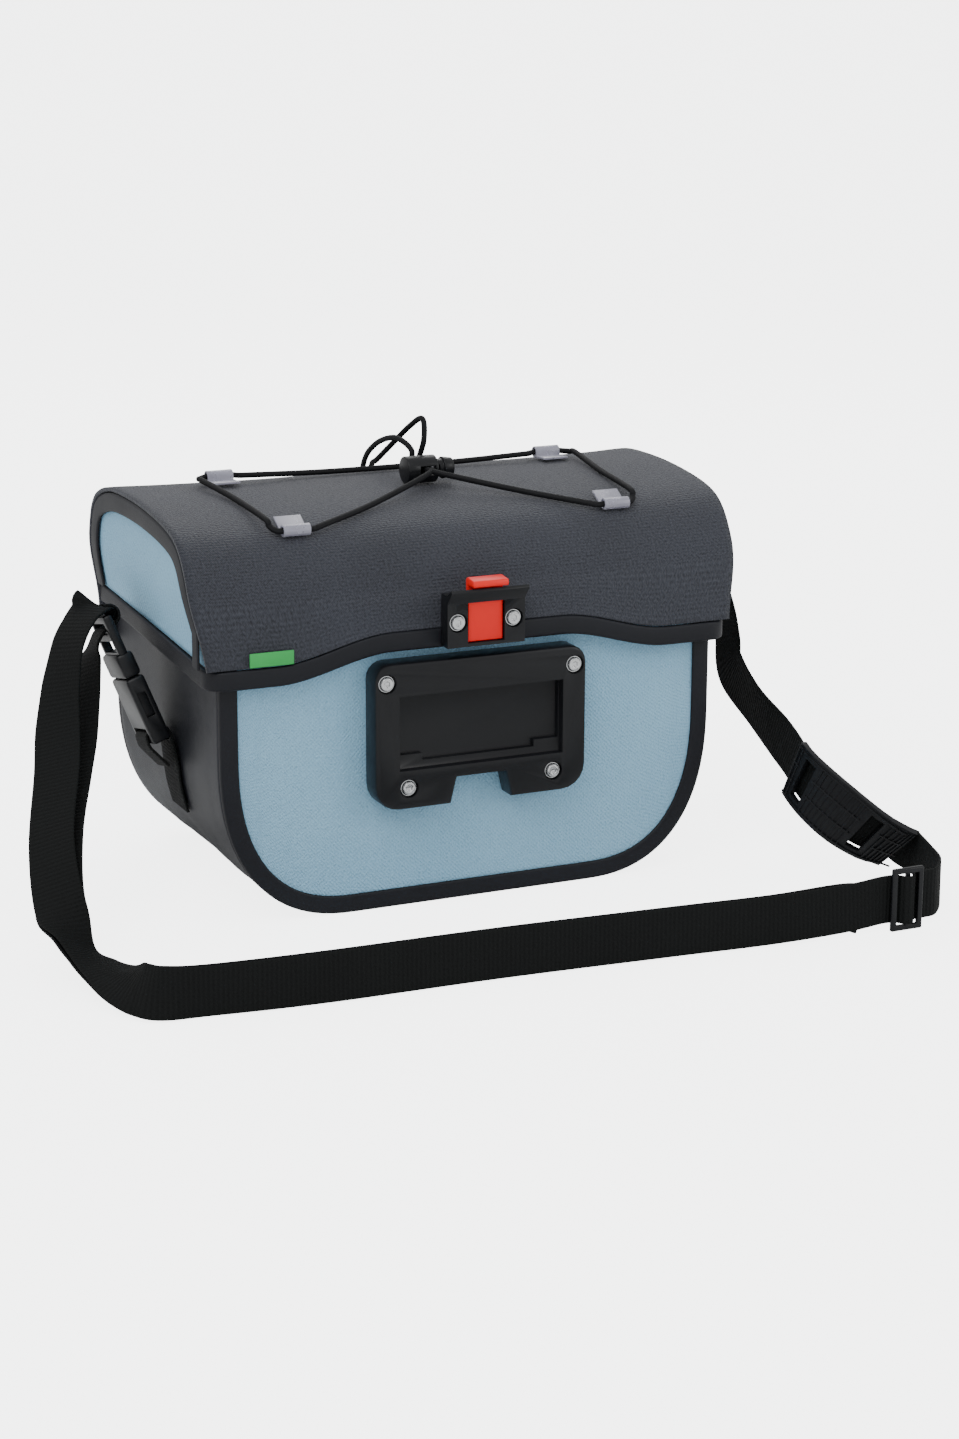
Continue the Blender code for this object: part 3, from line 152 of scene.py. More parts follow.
def make_group(name, inputs, outputs):
    """An empty shader node group with its sockets."""
    group = bpy.data.node_groups.new(name, "ShaderNodeTree")
    for label, kind, value in inputs:
        made = group.interface.new_socket(label, in_out="INPUT", socket_type=kind)
        if kind == "NodeSocketFloat":
            made.default_value = value
    for label, kind in outputs:
        group.interface.new_socket(label, in_out="OUTPUT", socket_type=kind)
    return group, group.nodes.new("NodeGroupInput"), group.nodes.new("NodeGroupOutput")


def math_node(tree, operation, first, second=None):
    """A Math node fed by sockets or plain numbers; gives its output socket."""
    node = tree.nodes.new("ShaderNodeMath")
    node.operation = operation
    for socket, value in zip(node.inputs, (first, second)):
        if value is None:
            continue
        if isinstance(value, (int, float)):
            socket.default_value = value
        else:
            tree.links.new(value, socket)
    return node.outputs[0]


THREAD_NOISE = 900.0
# Threads that cross: a plain weave, a twill when Slant is 1, cross ribs when Ribs is 1
threads, threads_in, threads_out = make_group(
    "crossing_threads",
    (("Place", "NodeSocketVector", None), ("Pitch", "NodeSocketFloat", 0.001),
     ("Slant", "NodeSocketFloat", 0.0), ("Ribs", "NodeSocketFloat", 0.0),
     ("Uneven", "NodeSocketFloat", 0.3)),
    (("Height", "NodeSocketFloat"), ("Shade", "NodeSocketFloat")))
split = threads.nodes.new("ShaderNodeSeparateXYZ")
threads.links.new(threads_in.outputs["Place"], split.inputs[0])
turns_v = math_node(threads, "MULTIPLY", math_node(threads, "DIVIDE", split.outputs[1],
                                                   threads_in.outputs["Pitch"]), 2 * math.pi)
lean = math_node(threads, "MULTIPLY", turns_v, threads_in.outputs["Slant"])
turns_u = math_node(threads, "MULTIPLY", math_node(threads, "DIVIDE", split.outputs[0],
                                                   threads_in.outputs["Pitch"]), 2 * math.pi)
wave_u = math_node(threads, "SINE", math_node(threads, "ADD", turns_u, lean))
wave_v = math_node(threads, "SINE", turns_v)
plain = math_node(threads, "MULTIPLY", wave_u, wave_v)
ribbed = threads.nodes.new("ShaderNodeMix")
threads.links.new(threads_in.outputs["Ribs"], ribbed.inputs[0])
threads.links.new(plain, ribbed.inputs[2])
threads.links.new(wave_v, ribbed.inputs[3])
thread_noise = threads.nodes.new("ShaderNodeTexNoise")
thread_noise.inputs["Scale"].default_value = THREAD_NOISE
thread_noise.inputs["Detail"].default_value = 2.0
threads.links.new(threads_in.outputs["Place"], thread_noise.inputs["Vector"])
uneven = math_node(threads, "MULTIPLY", math_node(threads, "SUBTRACT",
                                                  thread_noise.outputs[0], 0.5),
                   threads_in.outputs["Uneven"])
height = math_node(threads, "ADD", math_node(threads, "MULTIPLY", ribbed.outputs[0], 0.5),
                   math_node(threads, "MULTIPLY", uneven, 3.0))
threads.links.new(height, threads_out.inputs["Height"])
# Shade is painted shade: the raised threads lighter, the low places between them darker, with
# uneven tone from the noise
threads.links.new(math_node(threads, "ADD", math_node(threads, "MULTIPLY", height, 0.5), 0.5),
                  threads_out.inputs["Shade"])

# Handling marks: broad soft patches, from 0 to 1, in object space
marks, marks_in, marks_out = make_group(
    "handling_marks", (("Size", "NodeSocketFloat", 0.05),), (("Patches", "NodeSocketFloat"),
                                                             ("Grain", "NodeSocketFloat")))
marks_place = marks.nodes.new("ShaderNodeTexCoord")
for label, share, detail in (("Patches", 1.0, 3.0), ("Grain", 60.0, 2.0)):
    patch = marks.nodes.new("ShaderNodeTexNoise")
    patch.inputs["Detail"].default_value = detail
    marks.links.new(marks_place.outputs["Object"], patch.inputs["Vector"])
    marks.links.new(math_node(marks, "DIVIDE", share, marks_in.outputs["Size"]),
                    patch.inputs["Scale"])
    marks.links.new(patch.outputs[0], marks_out.inputs[label])


GRAIN_SHARE = 0.15
BUMP_STRENGTH = 0.6


def shade(name, dark, light, roughness, spread=0.08, metallic=0.0, threads_of=None,
          bump=0.0002, patch=0.05, sheen=0.0, specular=0.5):
    """A finish: colour between two shades, uneven gloss, and threads or a moulded grain."""
    made = bpy.data.materials.new(name)
    made.use_nodes = True
    tree = made.node_tree
    shader = tree.nodes["Principled BSDF"]
    shader.inputs["Metallic"].default_value = metallic
    shader.inputs["Specular IOR Level"].default_value = specular
    if sheen:
        shader.inputs["Sheen Weight"].default_value = sheen
        shader.inputs["Sheen Roughness"].default_value = 0.5
    worn = tree.nodes.new("ShaderNodeGroup")
    worn.node_tree = marks
    worn.inputs["Size"].default_value = patch
    patches_and_painted_shade = worn.outputs["Patches"]
    relief = worn.outputs["Grain"]
    if threads_of:
        cloth_map = tree.nodes.new("ShaderNodeUVMap")
        cloth_map.uv_map = "cloth"
        woven = tree.nodes.new("ShaderNodeGroup")
        woven.node_tree = threads
        tree.links.new(cloth_map.outputs[0], woven.inputs["Place"])
        for label, value in threads_of.items():
            woven.inputs[label].default_value = value
        # The threads' painted shade, darker between the threads, is mixed half and half with
        # the handling patches
        patches_and_painted_shade = math_node(tree, "ADD", math_node(tree, "MULTIPLY", patches_and_painted_shade, 0.5),
                         math_node(tree, "MULTIPLY", woven.outputs["Shade"], 0.5))
        relief = math_node(tree, "ADD", woven.outputs["Height"],
                           math_node(tree, "MULTIPLY", worn.outputs["Grain"], GRAIN_SHARE))
    colour = tree.nodes.new("ShaderNodeMix")
    colour.data_type = "RGBA"
    colour.inputs[6].default_value = (*dark, 1.0)
    colour.inputs[7].default_value = (*light, 1.0)
    tree.links.new(patches_and_painted_shade, colour.inputs[0])
    tree.links.new(colour.outputs[2], shader.inputs["Base Color"])
    gloss = math_node(tree, "ADD", math_node(tree, "MULTIPLY", worn.outputs["Patches"],
                                             spread * 2), roughness - spread)
    tree.links.new(gloss, shader.inputs["Roughness"])
    rise = tree.nodes.new("ShaderNodeBump")
    rise.inputs["Strength"].default_value = BUMP_STRENGTH
    rise.inputs["Distance"].default_value = bump
    tree.links.new(relief, rise.inputs["Height"])
    tree.links.new(rise.outputs[0], shader.inputs["Normal"])
    return made


def running_length(points):
    """Distance along a line of points up to each of them."""
    lengths = [0.0]
    for a, b in zip(points, points[1:]):
        lengths.append(lengths[-1] + (Vector(b) - Vector(a)).length)
    return lengths


BAG_MIDDLE = Vector((0, 0, 0.105))


def cloth_sheet(name, rows, finish, thickness, replaced):
    """A sheet of cloth through rows of points, its threads mapped in metres."""
    count = len(rows[0])
    mesh = bpy.data.meshes.new(name)
    faces = []
    for i in range(len(rows) - 1):
        for j in range(count - 1):
            faces.append((i * count + j, i * count + j + 1,
                          (i + 1) * count + j + 1, (i + 1) * count + j))
    mesh.from_pydata([tuple(point) for row in rows for point in row], [], faces)
    mesh.update()
    facing = sum(face.normal.dot(face.center - BAG_MIDDLE) * face.area
                 for face in mesh.polygons)
    if facing < 0:
        mesh.flip_normals()
    across = running_length(rows[len(rows) // 2])
    along = running_length([row[count // 2] for row in rows])
    layer = mesh.uv_layers.new(name="cloth")
    for loop in mesh.loops:
        row, column = divmod(loop.vertex_index, count)
        layer.data[loop.index].uv = (across[column], along[row])
    mesh.materials.append(finish)
    mesh.shade_smooth()
    made = bpy.data.objects.new(name, mesh)
    bpy.context.collection.objects.link(made)
    wall = made.modifiers.new("cloth_wall", "SOLIDIFY")
    wall.thickness = thickness
    wall.offset = -1.0
    wall.use_even_offset = True
    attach(made, "bag")
    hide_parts(replaced)
    return made


def body_line(offset=0.0):
    """Front view of the body from its top left edge round the base to its top right."""
    flat = HALF_WIDTH - BODY_CORNER_WIDTH
    right = []
    for k in range(SIDE_STEPS):
        z = BODY_HEIGHT + (BODY_CORNER_HEIGHT - BODY_HEIGHT) * k / SIDE_STEPS
        right.append((HALF_WIDTH, z))
    for k in range(CORNER_STEPS + 1):
        turn = math.pi / 2 * k / CORNER_STEPS
        x = flat + BODY_CORNER_WIDTH * max(math.cos(turn), 0.0) ** (2 / BODY_CORNER_POWER)
        z = BODY_CORNER_HEIGHT * (1 - math.sin(turn) ** (2 / BODY_CORNER_POWER))
        right.append((x, max(z, 0.0)))
    for k in range(1, BASE_STEPS // 2):
        right.append((flat * (1 - 2 * k / BASE_STEPS), 0.0))
    line = [(-x, z) for x, z in right] + [(0.0, 0.0)] + right[::-1]
    if offset:
        line = offset_line(line, -offset)
    return line


def offset_line(points, distance):
    """An open 2D line moved sideways, to the right of its direction for a positive one."""
    moved = []
    for i, (u, v) in enumerate(points):
        before, after = points[max(i - 1, 0)], points[min(i + 1, len(points) - 1)]
        du, dv = after[0] - before[0], after[1] - before[1]
        size = math.hypot(du, dv)
        moved.append((u + dv / size * distance, v - du / size * distance))
    return moved


def smooth_step(value):
    value = min(max(value, 0.0), 1.0)
    return value * value * (3 - 2 * value)


def table_value(rows, at, column):
    """Read a table whose first column rises, between its rows."""
    for low, high in zip(rows, rows[1:]):
        if at <= high[0]:
            share = (at - low[0]) / (high[0] - low[0])
            return low[column] + share * (high[column] - low[column])
    return rows[-1][column]


def dent_table(share, column):
    """The gusset's dents, eased between their rows."""
    for low, high in zip(GUSSET_DENTS, GUSSET_DENTS[1:]):
        if share <= high[0]:
            part = smooth_step((share - low[0]) / (high[0] - low[0]))
            return low[column] + part * (high[column] - low[column])
    return GUSSET_DENTS[-1][column]


def dent_share(z):
    """How much of the middle dent shows at a height."""
    level = z / BODY_HEIGHT
    return math.sin(math.pi * min(max((level - MIDDLE_FROM) / (1 - MIDDLE_FROM), 0.0), 1.0))


coated_cloth = shade("coated_cloth", (0.008, 0.009, 0.013), (0.024, 0.026, 0.034), 0.50,
                     specular=0.40, threads_of={"Pitch": 0.0011, "Uneven": 0.35},
                     bump=0.00010, patch=0.03)
gusset_reach = BODY_DEPTH / 2 - PANEL_FACE - CLOTH - GAP
gusset_rows = []
for i in range(GUSSET_ROWS + 1):
    share = i / GUSSET_ROWS
    y = -gusset_reach + 2 * gusset_reach * share
    row = []
    edge_hold = math.sin(math.pi * share) ** 0.5
    for x, z in body_line():
        level = z / BODY_HEIGHT
        low = math.sin(math.pi * min(max(level / LOWER_TO, 0.0), 1.0))
        pull = dent_table(share, 1) * dent_share(z) + dent_table(share, 2) * low
        ripple = noise.noise(Vector((x * FOLD_SCALE[0], y * FOLD_SCALE[1],
                                     z * FOLD_SCALE[2])))
        pull += (FOLD_DEPTH * max(ripple, FOLD_OUT) * edge_hold
                 * smooth_step(level * FOLD_RISE))
        row.append((x - math.copysign(pull, x) * (abs(x) > DENTS_FROM), y, z))
    gusset_rows.append(row)
gusset = cloth_sheet("gusset_cloth", gusset_rows, coated_cloth, CLOTH,
                     "gusset")

# Front and back panels: light blue coated fabric with a fine embossed weave, cut to the
# body's outline and welded to the gusset under the dark borders.
PANEL_COLUMNS = 64
PANEL_ROWS = 34
PANEL_SWELL = 0.0004
SWELL_SCALE = (22, 3.0)
PANEL_INSET = 0.0024
blue_cloth = shade("blue_cloth", (0.215, 0.455, 0.660), (0.400, 0.690, 0.900), 0.62,
                   specular=0.35, threads_of={"Pitch": 0.0020, "Uneven": 1.1},
                   bump=0.00050, patch=0.06)
panel_line = body_line(PANEL_INSET)
flat_half = HALF_WIDTH - PANEL_INSET
for side, name in ((-1, "front"), (1, "back")):
    y = side * (BODY_DEPTH / 2 - PANEL_FACE)
    columns = []
    for k in range(PANEL_COLUMNS + 1):
        x = flat_half * math.sin(math.pi / 2 * (2 * k / PANEL_COLUMNS - 1))
        near = min(range(len(panel_line) // 2 + 1),
                   key=lambda i: abs(panel_line[i][0] + abs(x)))
        floor_z = panel_line[near][1] if abs(x) < flat_half - GAP else BODY_CORNER_HEIGHT
        column = []
        for i in range(PANEL_ROWS + 1):
            share = i / PANEL_ROWS
            ripple = noise.noise(Vector((x * SWELL_SCALE[0], side, share * SWELL_SCALE[1])))
            swell = PANEL_SWELL * max(ripple, 0)
            column.append((x, y + side * swell, floor_z + (BODY_HEIGHT - floor_z) * share))
        columns.append(column)
    panel = cloth_sheet(f"{name}_panel_cloth", columns, blue_cloth, CLOTH,
                        f"{name}_panel")

# Borders: dark tape welded round each panel's edge, softly rounded on both sides.
# They are swept as a closed ring of points carried along the outline.
SWEPT_SHARP = math.radians(50)


def sweep(name, rings, finish, replaced, across=None):
    """A closed skin through rings of points, with capped ends and threads in metres."""
    count = len(rings[0])
    mesh = bpy.data.meshes.new(name)
    faces = []
    for i in range(len(rings) - 1):
        for j in range(count):
            k = (j + 1) % count
            faces.append((i * count + j, i * count + k,
                          (i + 1) * count + k, (i + 1) * count + j))
    last = (len(rings) - 1) * count
    faces.append(tuple(range(count)))
    faces.append(tuple(last + j for j in range(count)))
    mesh.from_pydata([tuple(point) for ring in rings for point in ring], [], faces)
    edit = bmesh.new()
    edit.from_mesh(mesh)
    bmesh.ops.recalc_face_normals(edit, faces=edit.faces[:])
    if edit.calc_volume(signed=True) < 0:
        bmesh.ops.reverse_faces(edit, faces=edit.faces[:])
    edit.to_mesh(mesh)
    edit.free()
    if across is None:
        across = running_length(rings[len(rings) // 2])
    along = running_length([sum((Vector(p) for p in ring), Vector()) / count
                            for ring in rings])
    layer = mesh.uv_layers.new(name="cloth")
    for loop in mesh.loops:
        row, column = divmod(loop.vertex_index, count)
        layer.data[loop.index].uv = (across[column], along[row])
    mesh.materials.append(finish)
    mesh.shade_smooth()
    mesh.set_sharp_from_angle(angle=SWEPT_SHARP)
    made = bpy.data.objects.new(name, mesh)
    bpy.context.collection.objects.link(made)
    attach(made, "bag")
    if replaced:
        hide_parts(replaced)
    return made


# The tape's ring: share of its width, share of its thickness. It wraps the panel's edge.
TAPE_RING = (
    (0.00, -1.75), (0.00, 0.55), (0.06, 0.92), (0.14, 1.00), (0.50, 1.00), (0.86, 1.00),
    (0.94, 0.88), (1.00, 0.45), (1.00, 0.0), (0.50, 0.0), (0.24, 0.0), (0.24, -1.75),
)
edge_cloth = shade("edge_cloth", (0.003, 0.0035, 0.006), (0.010, 0.0115, 0.017), 0.50,
                   specular=0.30, threads_of={"Pitch": 0.0011, "Uneven": 0.30},
                   bump=0.00008, patch=0.03)
border_out = body_line()
border_in = body_line(BORDER_WIDTH)
for side, name in ((-1, "front"), (1, "back")):
    rings = []
    for (x0, z0), (x1, z1) in zip(border_out, border_in):
        ring = []
        for wide, thick in TAPE_RING:
            y = side * (BODY_DEPTH / 2 - BORDER_THICKNESS * (1 - thick))
            ring.append((x0 + (x1 - x0) * wide, y, z0 + (z1 - z0) * wide))
        rings.append(ring)
    sweep(f"{name}_border_tape", rings, edge_cloth, f"{name}_border")

# Lid skin: one sheet of charcoal twill that rises from the front hem, arches over the bag
# and goes down to the top of the back panel. It sags a little between its ends.
LID_FRONT_OVERHANG = 0.0063
LID_BACK_OVERHANG = 0.0023
LID_BASE = 0.114
LID_HEIGHT = 0.074
LID_SIDE_OVERHANG = 0.0075
LID_FLARE = 0.0055
FLARE_FROM = 0.006
FLARE_RISE = 0.040
LID_SAG = 0.0015
HEM_HEIGHT = 0.009
HEM_THICKNESS = 0.003
HEM_RISE = 0.0105
SIDE_HEM_RISE = 0.009
SIDE_HEM_FROM = 0.010
WAVE_REACH = 0.045
WAVE_SLOPE = 0.056
HEM_CORNER_RADIUS = 0.010
HINGE_DROP = 0.010
PLATE_WIDTH = 0.1072
LID_FRONT_Y = -BODY_DEPTH / 2 - LID_FRONT_OVERHANG
LID_BACK_Y = BODY_DEPTH / 2 + LID_BACK_OVERHANG
LID_DEPTH = LID_BACK_Y - LID_FRONT_Y
LID_HALF = HALF_WIDTH + LID_SIDE_OVERHANG
LID_COLUMNS = 84
LID_EASE = 0.0002
SAG_RIPPLE = 0.0008
SAG_SCALE = (16, 14)
SAG_LEVEL = 0.3
PROFILE_STEPS = 5
LID_PROFILE = (
    (0.000, 0.122), (0.020, 0.365), (0.038, 0.514), (0.069, 0.676), (0.118, 0.824),
    (0.186, 0.912), (0.309, 0.966), (0.494, 1.000), (0.679, 1.000), (0.784, 0.973),
    (0.864, 0.919), (0.914, 0.851), (0.951, 0.730), (0.981, 0.486), (0.999, 0.190),
)


def smooth_route(points, steps):
    """Points of a smooth curve through the given vectors, steps for each stretch."""
    route = []
    last = len(points) - 1
    for i in range(last):
        before, start = points[max(i - 1, 0)], points[i]
        end, after = points[i + 1], points[min(i + 2, last)]
        for k in range(steps):
            t = k / steps
            route.append(0.5 * ((2 * start) + (end - before) * t
                                + (2 * before - 5 * start + 4 * end - after) * t * t
                                + (3 * start - before - 3 * end + after) * t ** 3))
    route.append(points[-1])
    return route


def lid_profile(inset=0.0, steps=PROFILE_STEPS):
    """Side view of the lid's skin from the front hem over the top to the back."""
    points = [Vector((LID_FRONT_Y + y * LID_DEPTH, LID_BASE + z * LID_HEIGHT))
              for y, z in LID_PROFILE]
    points.append(Vector((LID_BACK_Y, LID_BASE - HINGE_DROP)))
    line = [(point.x, point.y) for point in smooth_route(points, steps)]
    return offset_line(line, inset)


def lid_half_width(z):
    """The lid widens from its hem up to its arched ends."""
    return LID_HALF + LID_FLARE * smooth_step((z - LID_BASE - FLARE_FROM) / FLARE_RISE)


def lid_sag(x):
    share = min(abs(x) / LID_HALF, 1.0)
    return LID_SAG * (1 - share ** 4)


def hem_bottom(x, y=LID_FRONT_Y):
    """The front hem rises in a wave over the plate, the side hems towards the back."""
    wave = smooth_step((PLATE_WIDTH / 2 + WAVE_REACH - abs(x)) / WAVE_SLOPE)
    run = LID_DEPTH - 2 * SIDE_HEM_FROM
    back = min(max((y - LID_FRONT_Y - SIDE_HEM_FROM) / run, 0.0), 1.0)
    return LID_BASE + HEM_RISE * wave + SIDE_HEM_RISE * back


twill = shade("charcoal_twill", (0.008, 0.009, 0.014), (0.060, 0.067, 0.088), 0.66,
              specular=0.35, threads_of={"Pitch": 0.0016, "Slant": 1.0, "Uneven": 1.6},
              bump=0.00060, patch=0.05, sheen=0.12)
lid_rows = []
for k in range(LID_COLUMNS + 1):
    share = 2 * k / LID_COLUMNS - 1
    row = []
    for i, (y, z) in enumerate(lid_profile(LID_EASE)):
        x = share * lid_half_width(z)
        if i == 0:
            z = hem_bottom(x) + HEM_HEIGHT + 2 * GAP
        else:
            rise = max(z - LID_BASE, 0.0) / LID_HEIGHT
            wave = hem_bottom(x) - LID_BASE
            z += wave * max(1 - i / (PROFILE_STEPS * 2), 0) * (i < PROFILE_STEPS * 2)
            ripple = noise.noise(Vector((x * SAG_SCALE[0], y * SAG_SCALE[1], SAG_LEVEL)))
            z -= (lid_sag(x) * rise
                  + SAG_RIPPLE * max(ripple, 0.0) * rise * (1 - share ** 6))
        row.append((x, y, z))
    lid_rows.append(row)
lid_skin = cloth_sheet("lid_skin", lid_rows, twill, CLOTH, "lid_top")

# Hem: a thick bound edge that runs round the front and both sides of the lid, with a wave
# over the mounting plate.
HEM_RING = (
    (0.00, 0.14), (0.08, 0.05), (0.30, 0.00), (0.70, 0.00), (0.92, 0.05), (1.00, 0.14),
    (1.00, 0.86), (0.92, 0.95), (0.70, 1.00), (0.30, 1.00), (0.08, 0.95), (0.00, 0.86),
)
HEM_SIDE_STEPS = 24
HEM_CORNER_STEPS = 10
HEM_FRONT_STEPS = 96
HEM_BACK_SHARE = 0.985
hem_front_y = LID_FRONT_Y - (HEM_THICKNESS - CLOTH) / 2
hem_plan = []
for k in range(HEM_SIDE_STEPS):
    y = BODY_DEPTH / 2 * HEM_BACK_SHARE
    y += (hem_front_y + HEM_CORNER_RADIUS - y) * k / HEM_SIDE_STEPS
    hem_plan.append((-LID_HALF, y, math.pi))
for k in range(HEM_CORNER_STEPS + 1):
    angle = math.pi + math.pi / 2 * k / HEM_CORNER_STEPS
    hem_plan.append((-LID_HALF + HEM_CORNER_RADIUS * (1 + math.cos(angle)),
                     hem_front_y + HEM_CORNER_RADIUS * (1 + math.sin(angle)), angle))
for k in range(1, HEM_FRONT_STEPS // 2 + 1):
    x = (-LID_HALF + HEM_CORNER_RADIUS) * (1 - 2 * k / HEM_FRONT_STEPS)
    hem_plan.append((x, hem_front_y, math.pi * 1.5))
hem_plan += [(-x, y, 3 * math.pi - angle) for x, y, angle in hem_plan[-2::-1]]
hem_rings = []
for x, y, angle in hem_plan:
    low = hem_bottom(x, y)
    ring = []
    for thick, tall in HEM_RING:
        ring.append((x - math.cos(angle) * HEM_THICKNESS * thick,
                     y - math.sin(angle) * HEM_THICKNESS * thick, low + HEM_HEIGHT * tall))
    hem_rings.append(ring)
sweep("lid_hem_binding", hem_rings, edge_cloth, "lid_hem")

# Lid ends: blue cloth under the arch at the left and the right. A dark band joins each to
# the skin.
END_BAND_WIDTH = 0.0090
END_CLOTH_INSET = 0.0030
END_DIP = 0.0008
BAND_RING = (
    (0.00, 0.0), (0.00, 0.55), (0.06, 0.92), (0.14, 1.00), (0.50, 1.00), (0.86, 1.00),
    (0.94, 0.88), (1.00, 0.45), (1.00, 0.0), (0.50, 0.0),
)
END_BAND_THICKNESS = 0.0012
END_ROWS = 30
END_COLUMNS = 36
TOP_SHARE = 7
end_clear = CLOTH + 3 * GAP
band_out = lid_profile(end_clear)[PROFILE_STEPS:-PROFILE_STEPS]
band_in = lid_profile(end_clear + END_BAND_WIDTH)[PROFILE_STEPS:-PROFILE_STEPS]


def end_floor(y):
    """Lower edge of the lid's end, just above the side hem."""
    return hem_bottom(LID_HALF, y) + HEM_HEIGHT + 2 * GAP


top_row = (TOP_SHARE - 1) * PROFILE_STEPS
end_line = lid_profile(end_clear + END_CLOTH_INSET)[PROFILE_STEPS:-PROFILE_STEPS]
band_front = [(z, y) for y, z in end_line[:top_row + 1]]
band_back = [(z, y) for y, z in end_line[:top_row:-1]]
band_top = end_line[top_row][1] - lid_sag(0) - GAP
for side, name in ((-1, "left"), (1, "right")):
    rings = []
    for (y0, z0), (y1, z1) in zip(band_out, band_in):
        z0, z1 = max(z0, end_floor(y0)), max(z1, end_floor(y1))
        ring = []
        for wide, thick in BAND_RING:
            y, z = y0 + (y1 - y0) * wide, z0 + (z1 - z0) * wide
            x = lid_half_width(z) - END_BAND_THICKNESS * (1 - thick)
            ring.append((side * x, y, z))
        rings.append(ring)
    rings.insert(0, [(x, y, end_floor(y)) for x, y, z in rings[0]])
    sweep(f"lid_end_edge_{name}", rings, edge_cloth,
          f"lid_end_band_{name}")
    rows = []
    for i in range(END_ROWS + 1):
        rise = math.sin(math.pi / 2 * i / END_ROWS)
        ends = []
        for edge in (band_front, band_back):
            low = end_floor(table_value(edge, LID_BASE + HEM_HEIGHT, 1))
            z = low + (band_top - low) * rise
            ends.append(Vector((0, table_value(edge, z, 1), z)))
        row = []
        for j in range(END_COLUMNS + 1):
            point = ends[0].lerp(ends[1], j / END_COLUMNS)
            dip = END_DIP * math.sin(math.pi * j / END_COLUMNS) * math.sin(math.pi * rise)
            x = lid_half_width(point.z) - END_BAND_THICKNESS - 3 * GAP - dip
            row.append((side * x, point.y, point.z))
        rows.append(row)
    cloth_sheet(f"lid_end_cloth_{name}", rows, blue_cloth, CLOTH,
                f"lid_end_{name}")

# Moulded and turned parts keep the shape that the model gives them and get softened edges,
# as a mould or a lathe leaves them.
BEVEL_SEGMENTS = 2
BEVEL_FROM = math.radians(28)
SOFT_SHARP = math.radians(40)
WELD = 0.00001
FLAT = math.radians(1.0)


def softened(node, finish, radius, body="bag", merge=True):
    """A copy of a CAD node as one closed skin with rounded edges.

    merge joins the flat triangles first. A face with a window in it isn't merged.
    """
    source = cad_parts[node]
    mesh = source.data.copy()
    mesh.name = f"{node}_shape"
    edit = bmesh.new()
    edit.from_mesh(mesh)
    bmesh.ops.remove_doubles(edit, verts=edit.verts[:], dist=WELD)
    if merge:
        bmesh.ops.dissolve_limit(edit, angle_limit=FLAT, verts=edit.verts[:],
                                 edges=edit.edges[:])
    layer = edit.loops.layers.uv.get("cloth") or edit.loops.layers.uv.new("cloth")
    for face in edit.faces:
        for loop in face.loops:
            point = loop.vert.co
            loop[layer].uv = (point.x + point.y * 0.5, point.z + point.y * 0.5)
    edit.to_mesh(mesh)
    edit.free()
    mesh.materials.clear()
    mesh.materials.append(finish)
    made = bpy.data.objects.new(f"{node}_shape", mesh)
    bpy.context.collection.objects.link(made)
    edge = made.modifiers.new("soft_edges", "BEVEL")
    edge.width = radius
    edge.segments = BEVEL_SEGMENTS
    edge.limit_method = "ANGLE"
    edge.angle_limit = BEVEL_FROM
    edge.harden_normals = False
    edge.use_clamp_overlap = True
    bpy.ops.object.select_all(action="DESELECT")
    bpy.context.view_layer.objects.active = made
    made.select_set(True)
    bpy.ops.object.modifier_apply(modifier=edge.name)
    made.select_set(False)
    made.data.shade_smooth()
    made.data.set_sharp_from_angle(angle=SOFT_SHARP)
    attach(made, body)
    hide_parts(node)
    return made


black_plastic = shade("black_nylon", (0.004, 0.0045, 0.006), (0.009, 0.010, 0.012), 0.36,
                      specular=0.32, spread=0.06, bump=0.00003, patch=0.020)
softened("mount_plate", black_plastic, 0.0005)

# Screws: stainless socket heads on thin washers, four in the plate and two in the latch.
# Each sits in a round pocket, and the washer shows as a bright rim.
WASHER_RADIUS = 0.0037
WASHER_WIRE = 0.00045
steel = shade("bright_steel", (0.52, 0.53, 0.54), (0.78, 0.79, 0.80), 0.20, spread=0.06,
              metallic=1.0, bump=0.00001, patch=0.004)
screws = [f"plate_screw_{row}_{side}"
          for row in ("upper", "lower") for side in ("left", "right")]
screws += ["latch_screw_left", "latch_screw_right"]
for node in screws:
    softened(node, steel, 0.00025)
    low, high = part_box(node)
    bpy.ops.mesh.primitive_torus_add(
        major_radius=WASHER_RADIUS, minor_radius=WASHER_WIRE, major_segments=32,
        minor_segments=8, rotation=(math.pi / 2, 0, 0),
        location=((low[0] + high[0]) / 2, high[1] - WASHER_WIRE, (low[2] + high[2]) / 2))
    washer = bpy.context.active_object
    washer.name = node.replace("screw", "washer")
    bpy.ops.object.transform_apply(location=True, rotation=True, scale=True)
    bpy.ops.object.shade_smooth()
    washer.data.materials.append(steel)
    washer.select_set(False)
    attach(washer, "bag")

# Latch: a black housing screwed to the lid over the hem, with a red release that slides up
# between its cheeks.
red_plastic = shade("red_nylon", (0.86, 0.012, 0.008), (0.98, 0.022, 0.014), 0.38, specular=0.3,
                    spread=0.05, bump=0.00003, patch=0.015)
softened("lid_latch", black_plastic, 0.0003, merge=False)
softened("release", red_plastic, 0.0005, body="release")

# Tag: a short green woven tape, caught in the front hem at the left. Its face is bare.
# It is the CAD piece with softened edges.
green_tape = shade("green_tape_weave", (0.030, 0.36, 0.080), (0.060, 0.48, 0.120), 0.70,
                   specular=0.3, threads_of={"Pitch": 0.0007, "Uneven": 0.3},
                   bump=0.00008, patch=0.01)
softened("tag", green_tape, 0.00025)

